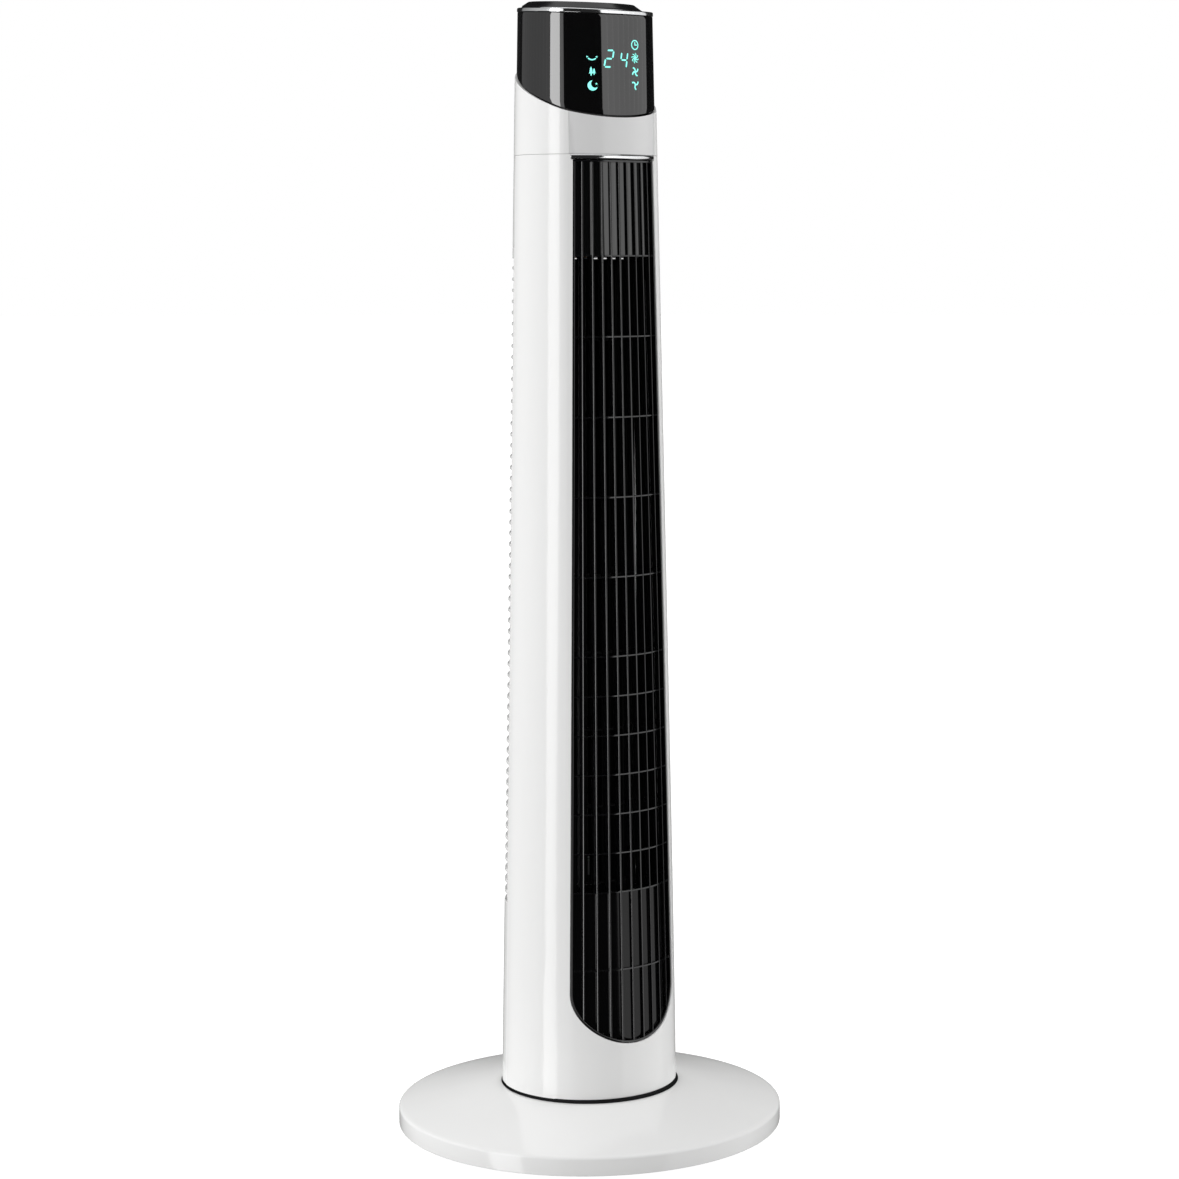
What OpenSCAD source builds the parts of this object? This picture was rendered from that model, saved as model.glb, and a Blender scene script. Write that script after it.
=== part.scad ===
// Oscillating tower fan on a round base.
// Millimetres, +Z up. The origin is on the floor at the centre of the base, and the air comes out towards -Y.

/* [Base] */
// Diameter of the round base
base_d = 320; // [300:5:340]
// Height of the upright edge of the base
rim_h = 16.8; // [14:0.2:18]
// Height of the flat seat that the column turns on
seat_h = 34.5; // [33:0.5:36]
// Number of rubber feet
foot_count = 6; // [4:1:8]

/* [Column] */
// Radius of the column at its foot
column_r = 73.5; // [72:0.5:75]
// Radius lost per millimetre of height
column_taper = 0.02; // [0.018:0.001:0.021]
// Radius of the flatter front face at the foot
front_r = 74.1; // [73:0.1:76]
// Radius of the flatter front face at the collar seam
front_r_top = 81.6; // [78:0.2:84]
// Distance that the front face's centre lies behind the column's axis, at the foot
front_back = 2.8; // [1.8:0.1:3.6]
// The same distance at the collar seam
front_back_top = 30.9; // [28:0.5:33]
// Thickness of the moulded walls
wall = 2.4; // [2:0.1:2.6]
// Height of the seam between the long housings and the collar
seam_z = 802.8; // [798:0.2:808]
// Depth position of the seam between the front and rear housings
split_y = 17; // [14:1:18]

/* [Air outlet] */
// Width of the outlet at its top
outlet_w = 76.6; // [72:0.2:78]
// Growth of the half width per millimetre downwards
outlet_flare = 0.018; // [0.014:0.001:0.019]
// Height at which the rounded lower end of the outlet starts
outlet_round_z = 124; // [120:1:130]
// Height of the rounded lower end
outlet_round_h = 42.7; // [38:0.1:44]
// Number of upright fins
fin_count = 9; // [7:2:11]
// Thickness of a fin
fin_t = 1.1; // [0.9:0.1:1.4]
// Height of the uppermost cross bar
bar_top_z = 722.7; // [718:0.1:724]
// Spacing of the cross bars, which is halved in the lower part
bar_pitch = 64.36; // [62:0.02:64.4]

/* [Air inlet] */
// Number of louvre slots in the rear housing
louvre_count = 59; // [40:1:59]
// Height of the middle of the lowest louvre slot
louvre_z = 194.5; // [194:0.5:198]
// Spacing of the louvre slots
louvre_pitch = 9; // [8.6:0.1:9]
// Height of one slot
louvre_h = 6.5; // [5:0.1:6.6]
// Rise of a slot per millimetre inwards
louvre_rise = 0.15; // [0:0.01:0.2]

/* [Head] */
// Height at which the collar's slanted edge crosses the axis
collar_z = 853.4; // [850:0.2:858]
// Slant of the collar's upper edge, in degrees
collar_slant = 23.1; // [20:0.1:25]
// Height at which the underside of the chrome ring crosses the axis
ring_z = 915.8; // [914:0.2:917]
// Slant of the chrome ring, in degrees
ring_slant = 3.1; // [2.6:0.1:3.4]
// Height of the chrome ring
ring_h = 3.5; // [3:0.1:4]
// Height of the raised rim round the buttons, above the chrome ring's underside
rim_rise = 8.8; // [8:0.1:9]

/* [Impeller and motor] */
// Radius of the impeller
impeller_r = 37; // [34:0.5:38]
// Number of impeller blades
blade_count = 32; // [24:1:36]
// Number of impeller sections, one above the other
section_count = 8; // [6:1:8]
// Radius of the motor shaft and of the upper axle
shaft_r = 4; // [3.5:0.5:4]
// Outer radius of the motor
motor_r = 38; // [34:1:40]

/* [Oscillation] */
// Distance from the pivot to the crank's axis
crank_y = 32; // [31:0.5:33]
// Distance from the crank's axis to its pin
crank_e = 19.5; // [18:0.5:20]
// Radius of the crank pin
pin_r = 2.5; // [2:0.1:2.6]

/* [Buttons] */
// Radius of the power button
power_r = 8; // [7:0.5:8.5]
// Radius of the other buttons
button_r = 6; // [5:0.5:6.5]
// Height of the button tops above the chrome ring's underside
button_rise = 7.2; // [6.8:0.1:7.6]

/* [Hidden] */
$fn = 96;

white = "#f4f4f2";
black = "#141518";
steel = "#b8bcc0";
smoke = "#1b1c20";

gap = 0.25;                     // between mouldings that meet
cover_z0 = 1.5;                 // lower edge of the base cover
plate_z = 2;                    // underside of the base plate
plate_t = 3;
column_z0 = seat_h + 1.7;       // lower edge of the housings
front_slope = (front_r_top - front_r) / (seam_z - column_z0);
front_lean = atan((front_back_top - front_back) / (seam_z - column_z0));

outlet_top = seam_z - 3.8;      // top edge of the outlet, under the chrome strip
grille_in = 1.2;                // front edges of the fins, in from the surface
grille_depth = 7;               // depth of the fins
blank_in = grille_in + grille_depth + 0.4;
blank_t = 1.6;
duct_in = blank_in + blank_t + gap;

axis_y = 2;                     // the impeller's axis lies this far behind the column's
impeller_z0 = 209;
impeller_z1 = bar_top_z - 2.7;
disc_t = 1.6;
duct_z0 = 203;
duct_z1 = bar_top_z + 0.8;
floor_t = 3;                    // the two plates that close the duct

post_r = 14;
bush_wall = 4;
bearing_r = 21.5;
arm_t = 3.5;                    // thickness of the slotted arm
flange_z = seat_h + arm_t + 2;  // underside of the turning bush
crank_z = flange_z + 3.6;       // underside of the crank
tower_plate_z = crank_z + 3.6;
run_gap = 0.06;                 // running clearance on the radius

head_in = 1.5;                  // the head stands in from the column's surface
// The ring, the rim, the deck and the buttons share one slanted frame, which starts at the ring's underside.
deck_rise = 5.3;                // top of the button deck
deck_t = 2.5;
board_rise = -9;                // underside of the button board
rim_centre = [0, 6.2];
rim_r = 42.6;                   // radius of the rim's upper edge
recess_r = 35.5;
arc_centre = [0, 4];
arc_r = 24.5;
button_angles = [156, 115, 65, 24];
power_at = [0, -9];

rear_split_z = 729;             // seam between the louvred housing and the cover above it
grip_z = 762;                   // centre of the hand grip
grip_w = 84;
grip_h = 34;
gland_z = 86;
cord_r = 3.6;
display_z = 877;                // middle of the display

// ---------- shapes of the column ----------

function column_at(z) = column_r - column_taper * (z - column_z0);
function outlet_half(z) = outlet_w / 2 + outlet_flare * (outlet_top - z);
function front_at(z) = front_r - front_back
    + (front_slope - tan(front_lean)) * (z - column_z0);

// The flatter front is a second, leaning cone.
module front_cone(inset) {
    below = 40;
    length = 960;
    translate([0, front_back, column_z0]) rotate([-front_lean, 0, 0]) translate([0, 0, -below])
        cylinder(h = length, r1 = front_r - front_slope * below - inset,
            r2 = front_r + front_slope * (length - below) - inset);
}

// Solid with the column's outline, drawn in by inset.
module envelope(inset, z0, z1) {
    intersection() {
        translate([0, 0, z0])
            cylinder(h = z1 - z0, r1 = column_at(z0) - inset, r2 = column_at(z1) - inset);
        front_cone(inset);
    }
}

module skin(inset, thick, z0, z1) {
    difference() {
        envelope(inset, z0, z1);
        envelope(inset + thick, z0 - 1, z1 + 1);
    }
}

// Everything in front of y (side -1) or behind it (side 1).
module half_space(y, side) {
    translate([-100, side < 0 ? y - 200 : y, -10]) cube([200, 200, 960]);
}

// Everything above a slanted plane that crosses the axis at z.
module above(z, slant) {
    translate([0, 0, z]) rotate([slant, 0, 0]) translate([-120, -150, 0]) cube([240, 300, 200]);
}

module box_at(centre, size) {
    translate([centre[0] - size[0] / 2, centre[1] - size[1] / 2, centre[2]]) cube(size);
}

module ring(r_out, r_in, z0, h) {
    translate([0, 0, z0]) difference() {
        cylinder(h = h, r = r_out);
        translate([0, 0, -1]) cylinder(h = h + 2, r = r_in);
    }
}

// Screw with its head down, its head's underside at z.
module screw(at, r, length, head_r, head_h) {
    translate([at[0], at[1], at[2]]) {
        cylinder(h = length, r = r);
        translate([0, 0, -head_h]) cylinder(h = head_h, r = head_r);
    }
}

// ---------- base ----------

rim_round = 2.2;
cover_slope = (seat_h - rim_h) / (base_d / 2 - rim_round - column_r - 2);

module base_profile(inset) {
    r = base_d / 2 - inset;
    polygon(concat(
        [[0, cover_z0 - inset], [r, cover_z0 - inset]],
        [for (a = [0:15:75]) [r - rim_round + rim_round * cos(a), rim_h - inset - rim_round + rim_round * sin(a)]],
        [[r - rim_round - 2, rim_h - inset + cover_slope * 2], [column_r + 2, seat_h - inset], [0, seat_h - inset]]));
}

module base_cover() color(white) {
    difference() {
        rotate_extrude() base_profile(0);
        rotate_extrude() base_profile(2.6);
        translate([0, 0, -1]) cylinder(h = 60, r = post_r + 0.3);
    }
    ring(30, 26, plate_z + plate_t, seat_h - 2.6 - plate_z - plate_t);
}

function around(r, count, turn = 0) = [for (i = [0:count - 1])
    let (a = turn + i * 360 / count) [r * cos(a), r * sin(a)]];

foot_r = base_d / 2 - 22;
screw_r = 112;

module base_plate() color(black) {
    difference() {
        translate([0, 0, plate_z]) cylinder(h = plate_t, r = base_d / 2 - 3.2);
        for (p = around(foot_r, foot_count)) translate([p[0], p[1], plate_z - 1]) cylinder(h = 2.5, r = 8.2);
        for (p = around(screw_r, 4, 45)) translate([p[0], p[1], 0]) cylinder(h = 9, r = 2.1);
    }
}

module ballast_ring() color(steel)
    difference() {
        ring(138, 52, plate_z + plate_t, 3.5);
        for (p = around(screw_r, 4, 45)) translate([p[0], p[1], 0]) cylinder(h = 19, r = 2.4);
    }

module base_feet() color("#26272a")
    for (p = around(foot_r, foot_count)) translate([p[0], p[1], 0]) {
        cylinder(h = 1, r1 = 7.2, r2 = 8);
        translate([0, 0, 1]) cylinder(h = 2.5, r = 8);
    }

module base_screws() color(steel)
    for (p = around(screw_r, 4, 45)) screw([p[0], p[1], plate_z], 2, 12, 4, 1.2);

// ---------- pivot and oscillation ----------

module pivot_post() color(steel)
    difference() {
        union() {
            translate([0, 0, plate_z + plate_t]) cylinder(h = 3, r = 25);
            translate([0, 0, plate_z + plate_t]) cylinder(h = tower_plate_z + 18 - plate_z - plate_t, r = post_r);
        }
        translate([0, 0, -1]) cylinder(h = 120, r = post_r - 4);
    }

// The slot is wide enough for the pin to stay clear over the whole travel.
module yoke_arm() color("#d8d8d4") {
    slot_r = pin_r + 4.3;
    slot_in = crank_y - 4.7;
    slot_out = crank_y + crank_e + 1;
    translate([0, 0, seat_h]) linear_extrude(arm_t) difference() {
        union() {
            circle(r = bearing_r + 0.6);
            translate([-slot_r - 3.5, 0]) square([2 * slot_r + 7, slot_out]);
            translate([0, slot_out]) circle(r = slot_r + 3.5);
        }
        circle(r = post_r + 0.1);
        difference() {
            union() {
                translate([0, slot_in]) square([2 * slot_r, 2 * slot_r], center = true);
                translate([-slot_r, slot_in]) square([2 * slot_r, slot_out - slot_in]);
                translate([0, slot_out]) circle(r = slot_r);
            }
            circle(r = bearing_r);
        }
    }
}

module bearing_ring() color("#e9e6da") ring(bearing_r, post_r + 0.3, seat_h + arm_t, 2 - 0.2);

module pivot_bush() color("#c9a24a")
    difference() {
        union() {
            translate([0, 0, flange_z]) cylinder(h = 3, r = bearing_r);
            translate([0, 0, flange_z]) cylinder(h = tower_plate_z + 12 - flange_z, r = post_r + bush_wall);
        }
        translate([0, 0, flange_z - 1]) cylinder(h = 60, r = post_r + run_gap);
    }

module retaining_washer() color(steel) ring(post_r + 6, post_r + 0.1, tower_plate_z + 12.3, 1.5);

module pivot_nut() color("#cfcfc8")
    translate([0, 0, tower_plate_z + 13.8]) difference() {
        cylinder(h = 4, r = post_r + 6.5, $fn = 6);
        translate([0, 0, -1]) cylinder(h = 6, r = post_r, $fn = 96);
    }

module tower_plate() color("#2a2b2e")
    difference() {
        envelope(wall + 0.2, tower_plate_z, tower_plate_z + 3);
        translate([0, 0, tower_plate_z - 1]) cylinder(h = 6, r = post_r + bush_wall + 0.05);
        translate([0, crank_y, tower_plate_z - 1]) cylinder(h = 6, r = 8);
    }

module gap_ring() color("#08080a") {
    ring(column_r - 2.6, column_r - 8, seat_h + 0.4, column_z0 - seat_h - 0.4);
    difference() {
        envelope(wall + 0.2, column_z0, tower_plate_z);
        translate([0, 0, column_z0 - 1]) cylinder(h = 40, r = column_r - 8);
    }
}

module osc_motor() color("#c5c8cc") {
    body_r = 23.5;
    body_y = crank_y + 12;
    difference() {
        union() {
            translate([0, body_y, tower_plate_z + 3]) cylinder(h = 17, r = body_r);
            for (side = [-1, 1])
                box_at([side * 28, body_y - 6, tower_plate_z + 3], [14, 10, 1.2]);
        }
        translate([0, crank_y, tower_plate_z]) cylinder(h = 12, r = 3 + run_gap);
    }
}

module osc_crank() color("#e4e2dc") {
    translate([0, crank_y, crank_z]) linear_extrude(2.8) {
        circle(r = 7);
        circle_at_pin();
        translate([-4, 0]) square([8, crank_e]);
    }
    translate([0, crank_y, crank_z]) cylinder(h = tower_plate_z + 10 - crank_z, r = 3);
    translate([0, crank_y + crank_e, seat_h + 0.8]) cylinder(h = crank_z - seat_h, r = pin_r);
}

module circle_at_pin() translate([0, crank_e]) circle(r = 4.5);

// ---------- housings ----------

// Outline of the outlet, drawn in by inset, as a prism that runs along Y.
module outlet_prism(inset, y0 = -90, y1 = -22) {
    half = outlet_half(outlet_round_z) - inset;
    arc_h = outlet_round_h - inset;
    translate([0, y1, 0]) rotate([90, 0, 0]) linear_extrude(y1 - y0)
        polygon(concat(
            [[-outlet_half(outlet_top) + inset, outlet_top - inset]],
            [for (a = [180:7.5:360]) [half * cos(a), outlet_round_z + arc_h * sin(a)]],
            [[outlet_half(outlet_top) - inset, outlet_top - inset]]));
}

module front_housing() color(white)
    difference() {
        intersection() {
            skin(0, wall, column_z0, seam_z);
            half_space(split_y, -1);
        }
        outlet_prism(0);
        translate([-outlet_half(outlet_top) - 1.5, -90, outlet_top - 0.2])
            cube([2 * outlet_half(outlet_top) + 3, 60, 10]);
    }

// Slots that rise inwards, one above the other, all round the axis.
module louvre_slots() {
    mid_r = 65;
    reach = 19;
    rise = louvre_rise * reach;
    half = louvre_h / 2;
    rotate_extrude() for (i = [0:louvre_count - 1])
        let (z = louvre_z + i * louvre_pitch)
            polygon([[mid_r - reach, z + rise - half], [mid_r + reach, z - rise - half],
                [mid_r + reach, z - rise + half], [mid_r - reach, z + rise + half]]);
}

module screw_holes()
    for (p = screw_places()) translate([p[0], 20, p[1]]) rotate([-90, 0, 0]) cylinder(h = 80, r = 2.2);

module rear_half(z0, z1)
    intersection() {
        skin(0, wall, z0, z1);
        half_space(split_y + gap, 1);
    }

module rear_housing() color(white)
    difference() {
        rear_half(column_z0, rear_split_z);
        difference() {
            intersection() {
                louvre_slots();
                half_space(21, 1);
            }
            for (a = [54, 90, 126])
                rotate([0, 0, a]) translate([30, -1.4, 180]) cube([60, 2.8, 560]);
        }
        translate([0, 50, gland_z]) rotate([-90, 0, 0]) cylinder(h = 40, r = 7.2);
        screw_holes();
    }

// Plain cover above the louvres, with the window for the hand grip.
module rear_top_cover() color(white)
    difference() {
        rear_half(rear_split_z + gap, seam_z);
        grip_prism(0.3);
        screw_holes();
    }

function screw_places() = [for (z = [70, 176, 792], side = [-1, 1]) [side * 34, z]];

module housing_screws() color(steel)
    for (p = screw_places()) {
        y = sqrt(pow(column_at(p[1]), 2) - pow(p[0], 2));
        translate([p[0], y - 3.5, p[1]]) rotate([90, 0, 0]) cylinder(h = 12, r = 2);
        translate([p[0], y - 2.6, p[1]]) rotate([90, 0, 0]) cylinder(h = 0.9, r = 2.1);
    }

// Rounded slot for the hand, as a prism along Y.
module grip_prism(grow) {
    r = grip_h / 2 + grow;
    translate([0, 90, grip_z]) rotate([90, 0, 0]) linear_extrude(70) {
        square([grip_w - grip_h, 2 * r], center = true);
        for (side = [-1, 1]) translate([side * (grip_w - grip_h) / 2, 0]) circle(r = r);
    }
}

module rear_grip() color("#202124")
    intersection() {
        difference() {
            grip_prism(0);
            translate([0, 4, 0]) intersection() {
                grip_prism(-2.2);
                half_space(22 + 6, 1);
            }
        }
        difference() {
            envelope(0.4, grip_z - 30, grip_z + 30);
            half_space(27, -1);
        }
    }

module cable_gland() color(black)
    translate([0, 60, gland_z]) rotate([-90, 0, 0]) difference() {
        union() {
            cylinder(h = column_at(gland_z) - 60 + 2.5, r = 7);
            cylinder(h = 6, r = 10);
        }
        translate([0, 0, -1]) cylinder(h = 40, r = cord_r);
    }

trim_half = outlet_half(outlet_top) + 2.4;

module trim_prism(inset) {
    half = trim_half - inset;
    translate([-half, -90, seam_z - 1]) cube([2 * half, 70, 80]);
}

module collar_shell() color(white)
    difference() {
        skin(0, wall, seam_z + 0.2, 890);
        above(collar_z, collar_slant);
        trim_prism(0);
    }

// The flat-looking plate in the collar above the outlet.
module trim_panel() color("#e2e2e0")
    difference() {
        intersection() {
            skin(0.5, wall - 0.5, seam_z + 0.4, 880);
            trim_prism(gap);
        }
        above(collar_z, collar_slant);
    }

module chrome_strip() color("#d5d8db")
    intersection() {
        skin(0.2, 3, seam_z - 3.4, seam_z + 0.1);
        translate([-outlet_half(outlet_top) - 1, -90, 0]) cube([2 * outlet_half(outlet_top) + 2, 60, 900]);
    }

// ---------- outlet ----------

function fin_x(i, z) = i * 2 * outlet_half(z) / (fin_count + 1);

module fins() {
    for (i = [-(fin_count - 1) / 2:(fin_count - 1) / 2]) {
        lean = atan((fin_x(i, outlet_round_z) - fin_x(i, outlet_top)) / (outlet_top - outlet_round_z));
        translate([fin_x(i, outlet_top), 0, outlet_top]) rotate([0, lean, 0])
            translate([-fin_t / 2, -90, -740]) cube([fin_t, 70, 742]);
    }
}

function bar_heights() = concat([for (i = [0:4]) bar_top_z - i * bar_pitch],
    [for (i = [5:0.5:8]) bar_top_z - i * bar_pitch], [bar_top_z - 9 * bar_pitch]);

module bars() {
    bar_t = 1.4;
    for (z = bar_heights()) translate([-70, -90, z - bar_t / 2]) cube([140, 70, bar_t]);
}

module front_grille() color(black) {
    rim_t = 2;
    difference() {
        intersection() {
            skin(0.8, grille_in + grille_depth - 0.8, 78, outlet_top);
            outlet_prism(gap);
        }
        outlet_prism(gap + rim_t);
    }
    intersection() {
        union() {
            intersection() {
                skin(grille_in, grille_depth, 78, outlet_top);
                fins();
            }
            intersection() {
                skin(grille_in + 0.3, 2.6, 78, outlet_top);
                bars();
            }
        }
        outlet_prism(gap + rim_t / 2);
    }
}

module blank(z0, z1) {
    intersection() {
        skin(blank_in, blank_t, z0, z1);
        outlet_prism(2.8);
    }
}

module upper_blank() color("#303236") blank(bar_top_z, outlet_top - 1);
module lower_blank() color("#303236") blank(78, bar_top_z - 8 * bar_pitch);

// ---------- duct ----------

// Floor that fills the column at z and stays behind the grille.
module inner_floor(z0, h) {
    intersection() {
        envelope(wall + 0.3, z0, z0 + h);
        half_space(-18, 1);
    }
    envelope(duct_in, z0, z0 + h);
}

module duct_wall_zone() envelope(duct_in, duct_z0 + 0.1, duct_z1 - 0.1);

module scroll_wall() color("#3a3c40") {
    r = impeller_r + 6;
    at = [-2, -1];
    intersection() {
        duct_wall_zone();
        translate([at[0], at[1], 150]) linear_extrude(620) {
            intersection() {
                difference() {
                    circle(r = r + 2);
                    circle(r = r);
                }
                polygon([[0, 0], [-70, -47], [-90, 30], [-50, 60]]);
            }
            polygon([[-r * cos(35), -r * sin(35)], [-(r + 2) * cos(34), -(r + 2) * sin(34)],
                [-42, -70], [-40, -70]]);
        }
    }
}

module duct_tongue() color("#3a3c40")
    intersection() {
        duct_wall_zone();
        translate([0, 0, 150]) linear_extrude(620) {
            polygon([[33, -24], [35, -24], [42, -60], [40, -60]]);
            translate([34, -24]) circle(r = 1.6);
        }
    }

module duct_top_plate() color("#2f3135")
    difference() {
        inner_floor(duct_z1, floor_t);
        translate([0, axis_y, duct_z1 - 1]) cylinder(h = 9, r = 11);
    }

module duct_bottom_plate() color("#2f3135")
    difference() {
        inner_floor(duct_z0 - floor_t, floor_t);
        translate([0, axis_y, duct_z0 - 9]) cylinder(h = 19, r = 14);
        for (p = motor_posts()) translate([p[0], p[1], duct_z0 - 9]) cylinder(h = 19, r = 2);
    }

// ---------- impeller ----------

module blade_profile() {
    arc_r_out = 9;
    mid_r = impeller_r - 3.7;
    intersection() {
        translate([mid_r, -arc_r_out + 0.4]) difference() {
            circle(r = arc_r_out);
            circle(r = arc_r_out - 0.9);
        }
        translate([mid_r - 4, -3.2]) square([7, 5]);
    }
}

module impeller() color("#17181b") {
    span = impeller_z1 - impeller_z0 - disc_t;
    rim_w = 9;
    translate([0, axis_y, 0]) {
        translate([0, 0, impeller_z0]) linear_extrude(impeller_z1 - impeller_z0)
            for (i = [0:blade_count - 1]) rotate(i * 360 / blade_count) blade_profile();
        for (i = [1:section_count - 1])
            ring(impeller_r, impeller_r - rim_w, impeller_z0 + i * span / section_count, disc_t);
        ring(impeller_r, 9, impeller_z0, disc_t);
        ring(impeller_r, shaft_r, impeller_z1 - disc_t, disc_t);
        ring(9, shaft_r, impeller_z1 - 18, 18);
    }
}

module impeller_hub() color("#c8cacd")
    translate([0, axis_y, 0]) difference() {
        union() {
            translate([0, 0, impeller_z0 - 3]) cylinder(h = 3, r = 12);
            translate([0, 0, impeller_z0]) cylinder(h = 14, r = 9);
        }
        translate([0, 0, impeller_z0 - 9]) cylinder(h = 40, r = shaft_r);
    }

module motor_shaft() color(steel) translate([0, axis_y, 108]) cylinder(h = impeller_z0 + 13 - 108, r = shaft_r);

module upper_axle() color(steel) translate([0, axis_y, impeller_z1 - 17]) cylinder(h = 31, r = shaft_r);

module bearing_bush() color("#b58a3c")
    translate([0, axis_y, 0]) ring(8, shaft_r + run_gap, impeller_z1 + 1.2, 12);

module bearing_mount() color("#232427")
    translate([0, axis_y, 0]) difference() {
        union() {
            translate([0, 0, impeller_z1 + 2.6]) cylinder(h = 9, r = 11);
            translate([0, 0, duct_z1 + floor_t]) cylinder(h = 3, r = 14);
        }
        cylinder(h = 900, r = 8);
    }

// ---------- motor ----------

stator_z0 = 132;
stator_z1 = 168;
bracket_z = 190;

function motor_posts() = [for (sx = [-1, 1], sy = [-1, 1]) [sx * 29, axis_y + sy * 29]];

module rotor() color("#9a9da1") translate([0, axis_y, 0]) ring(24, shaft_r, stator_z0 + 2, stator_z1 - stator_z0 - 4);

module stator() color("#8d9094") translate([0, axis_y, 0]) ring(motor_r, 24.6, stator_z0, stator_z1 - stator_z0);

module stator_windings() color("#b0622c") translate([0, axis_y, 0]) {
    ring(33, 26, stator_z1, 8);
    ring(33, 26, stator_z0 - 8, 8);
}

// End cover that opens towards the stator, drawn with its floor at z = 0.
module motor_cover(h) {
    ring(motor_r, motor_r - 2, 0, h);
    ring(motor_r - 1, shaft_r + run_gap, 0, 2);
    ring(9, shaft_r + run_gap, 0, 9);
}

module motor_lower_cover() color("#a9acb0") translate([0, axis_y, stator_z0 - 18]) motor_cover(18);

module motor_upper_cover() color("#a9acb0") translate([0, axis_y, stator_z1 + 20]) mirror([0, 0, 1]) motor_cover(20);

module motor_bracket() color("#6f7276")
    difference() {
        union() {
            translate([0, axis_y, bracket_z]) cylinder(h = 2, r = 45);
            for (p = motor_posts()) translate([p[0], p[1], bracket_z])
                cylinder(h = duct_z0 - floor_t - bracket_z, r = 4);
        }
        translate([0, axis_y, bracket_z - 1]) cylinder(h = 5, r = 10);
        for (p = motor_posts()) translate([p[0], p[1], bracket_z - 1]) cylinder(h = 30, r = 2);
    }

module motor_screws() color(steel)
    for (p = motor_posts()) screw([p[0], p[1], bracket_z], 1.95, 12.5, 3.6, 1.8);

module capacitor() color("#dedad0") box_at([-42, -6, tower_plate_z + 3], [18, 36, 26]);

module power_board() color("#2f6b3c") {
    box_at([42, -8, tower_plate_z + 3], [1.6, 44, 42]);
    for (i = [0:2]) box_at([38, -22 + i * 13, tower_plate_z + 8 + i * 6], [6.4, 9, 12]);
}

// ---------- head ----------

module head_shell(inset, thick) {
    difference() {
        skin(inset, thick, 815, 930);
        difference() {
            envelope(-5, 800, 940);
            above(collar_z + 0.8, collar_slant);
        }
        above(ring_z, ring_slant);
    }
}

lens_w = 74;
lens_h = 50;

module lens_prism(grow) {
    translate([0, -20, display_z]) rotate([90, 0, 0]) linear_extrude(70)
        square([lens_w + 2 * grow, lens_h + 2 * grow], center = true);
}

module head_housing() color(black)
    difference() {
        head_shell(head_in, wall);
        lens_prism(0.1);
    }

module display_lens() color(smoke)
    intersection() {
        head_shell(head_in, wall);
        lens_prism(0);
    }

display_front = front_at(display_z) - head_in - wall - 3;

module display_board() color("#244a2e")
    box_at([0, -display_front + 4.8, display_z - 31], [56, 1.6, 52]);

// Seven-segment digit seen from the front, with only its lit segments.
module digit(lit) {
    w = 6;
    h = 6.2;
    t = 1.3;
    places = [[0, h, 0], [w / 2, h / 2, 90], [w / 2, -h / 2, 90], [0, -h, 0],
        [-w / 2, -h / 2, 90], [-w / 2, h / 2, 90], [0, 0, 0]];
    for (i = lit) translate([places[i][0], places[i][1]]) rotate(places[i][2])
        square([places[i][2] == 0 ? w - t : h - t, t], center = true);
}

module display_lights() color("#7ff5e6")
    translate([0, -display_front + 4, display_z]) rotate([90, 0, 0]) linear_extrude(2) {
        translate([-8.5, 0]) digit([0, 1, 6, 4, 3]);
        translate([5.5, 0]) digit([5, 6, 1, 2]);
        for (z = [12, 1.6, -8.6, -19.3]) translate([17.3, z]) circle(r = 3.2);
        for (z = [0, -10, -20.5]) translate([-23, z]) circle(r = 3.2);
    }

module ir_receiver() color("#18191c")
    translate([21, -display_front + 4, display_z - 28]) rotate([90, 0, 0]) cylinder(h = 1.8, r = 2.5);

// Puts its children in the slanted frame.
module slanted() translate([0, 0, ring_z]) rotate([ring_slant, 0, 0]) children();

module slanted_disc(at, r, w0, w1) slanted() translate([at[0], at[1], w0]) cylinder(h = w1 - w0, r = r);

module chrome_ring() color("#d5d8db")
    intersection() {
        skin(1.1, 3.6, 905, 930);
        slanted_disc([0, 0], 90, 0.05, ring_h);
    }

function button_at(i) = arc_centre + arc_r * [cos(button_angles[i]), sin(button_angles[i])];

module top_panel() color(black)
    difference() {
        intersection() {
            envelope(4.9, 900, 935);
            union() {
                slanted_disc([0, 0], 90, deck_rise - deck_t - 4, ring_h);
                slanted() translate([rim_centre[0], rim_centre[1], ring_h])
                    cylinder(h = rim_rise - ring_h, r1 = rim_r + 8, r2 = rim_r);
            }
        }
        slanted_disc(rim_centre, recess_r, deck_rise, 20);
        intersection() {
            envelope(9, 890, 935);
            slanted_disc([0, 0], 90, -20, deck_rise - deck_t);
        }
        slanted_disc(power_at, power_r + 0.3, -20, 20);
        for (i = [0:3]) slanted_disc(button_at(i), button_r + 0.3, -20, 20);
    }

button_travel = 1;
switch_rise = board_rise + 6;

module push_button(at, r) {
    flange_top = deck_rise - deck_t - 0.2;
    slanted_disc(at, r, flange_top, button_rise);
    slanted_disc(at, r + 1.1, flange_top - 1.6, flange_top);
    slanted_disc(at, 2, switch_rise + button_travel + 0.3, flange_top - 1);
}

module button_board() color("#2f6b3c") {
    slanted_disc(rim_centre, recess_r, board_rise, board_rise + 1.6);
    for (p = concat([power_at], [for (i = [0:3]) button_at(i)]))
        slanted() box_at([p[0], p[1], board_rise + 1.6], [6, 6, switch_rise - board_rise - 1.6]);
}

module button_power() color("#2a2b2f") push_button(power_at, power_r);
module button_speed() color("#2a2b2f") push_button(button_at(0), button_r);
module button_timer() color("#2a2b2f") push_button(button_at(1), button_r);
module button_mode() color("#2a2b2f") push_button(button_at(2), button_r);
module button_swing() color("#2a2b2f") push_button(button_at(3), button_r);

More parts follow.
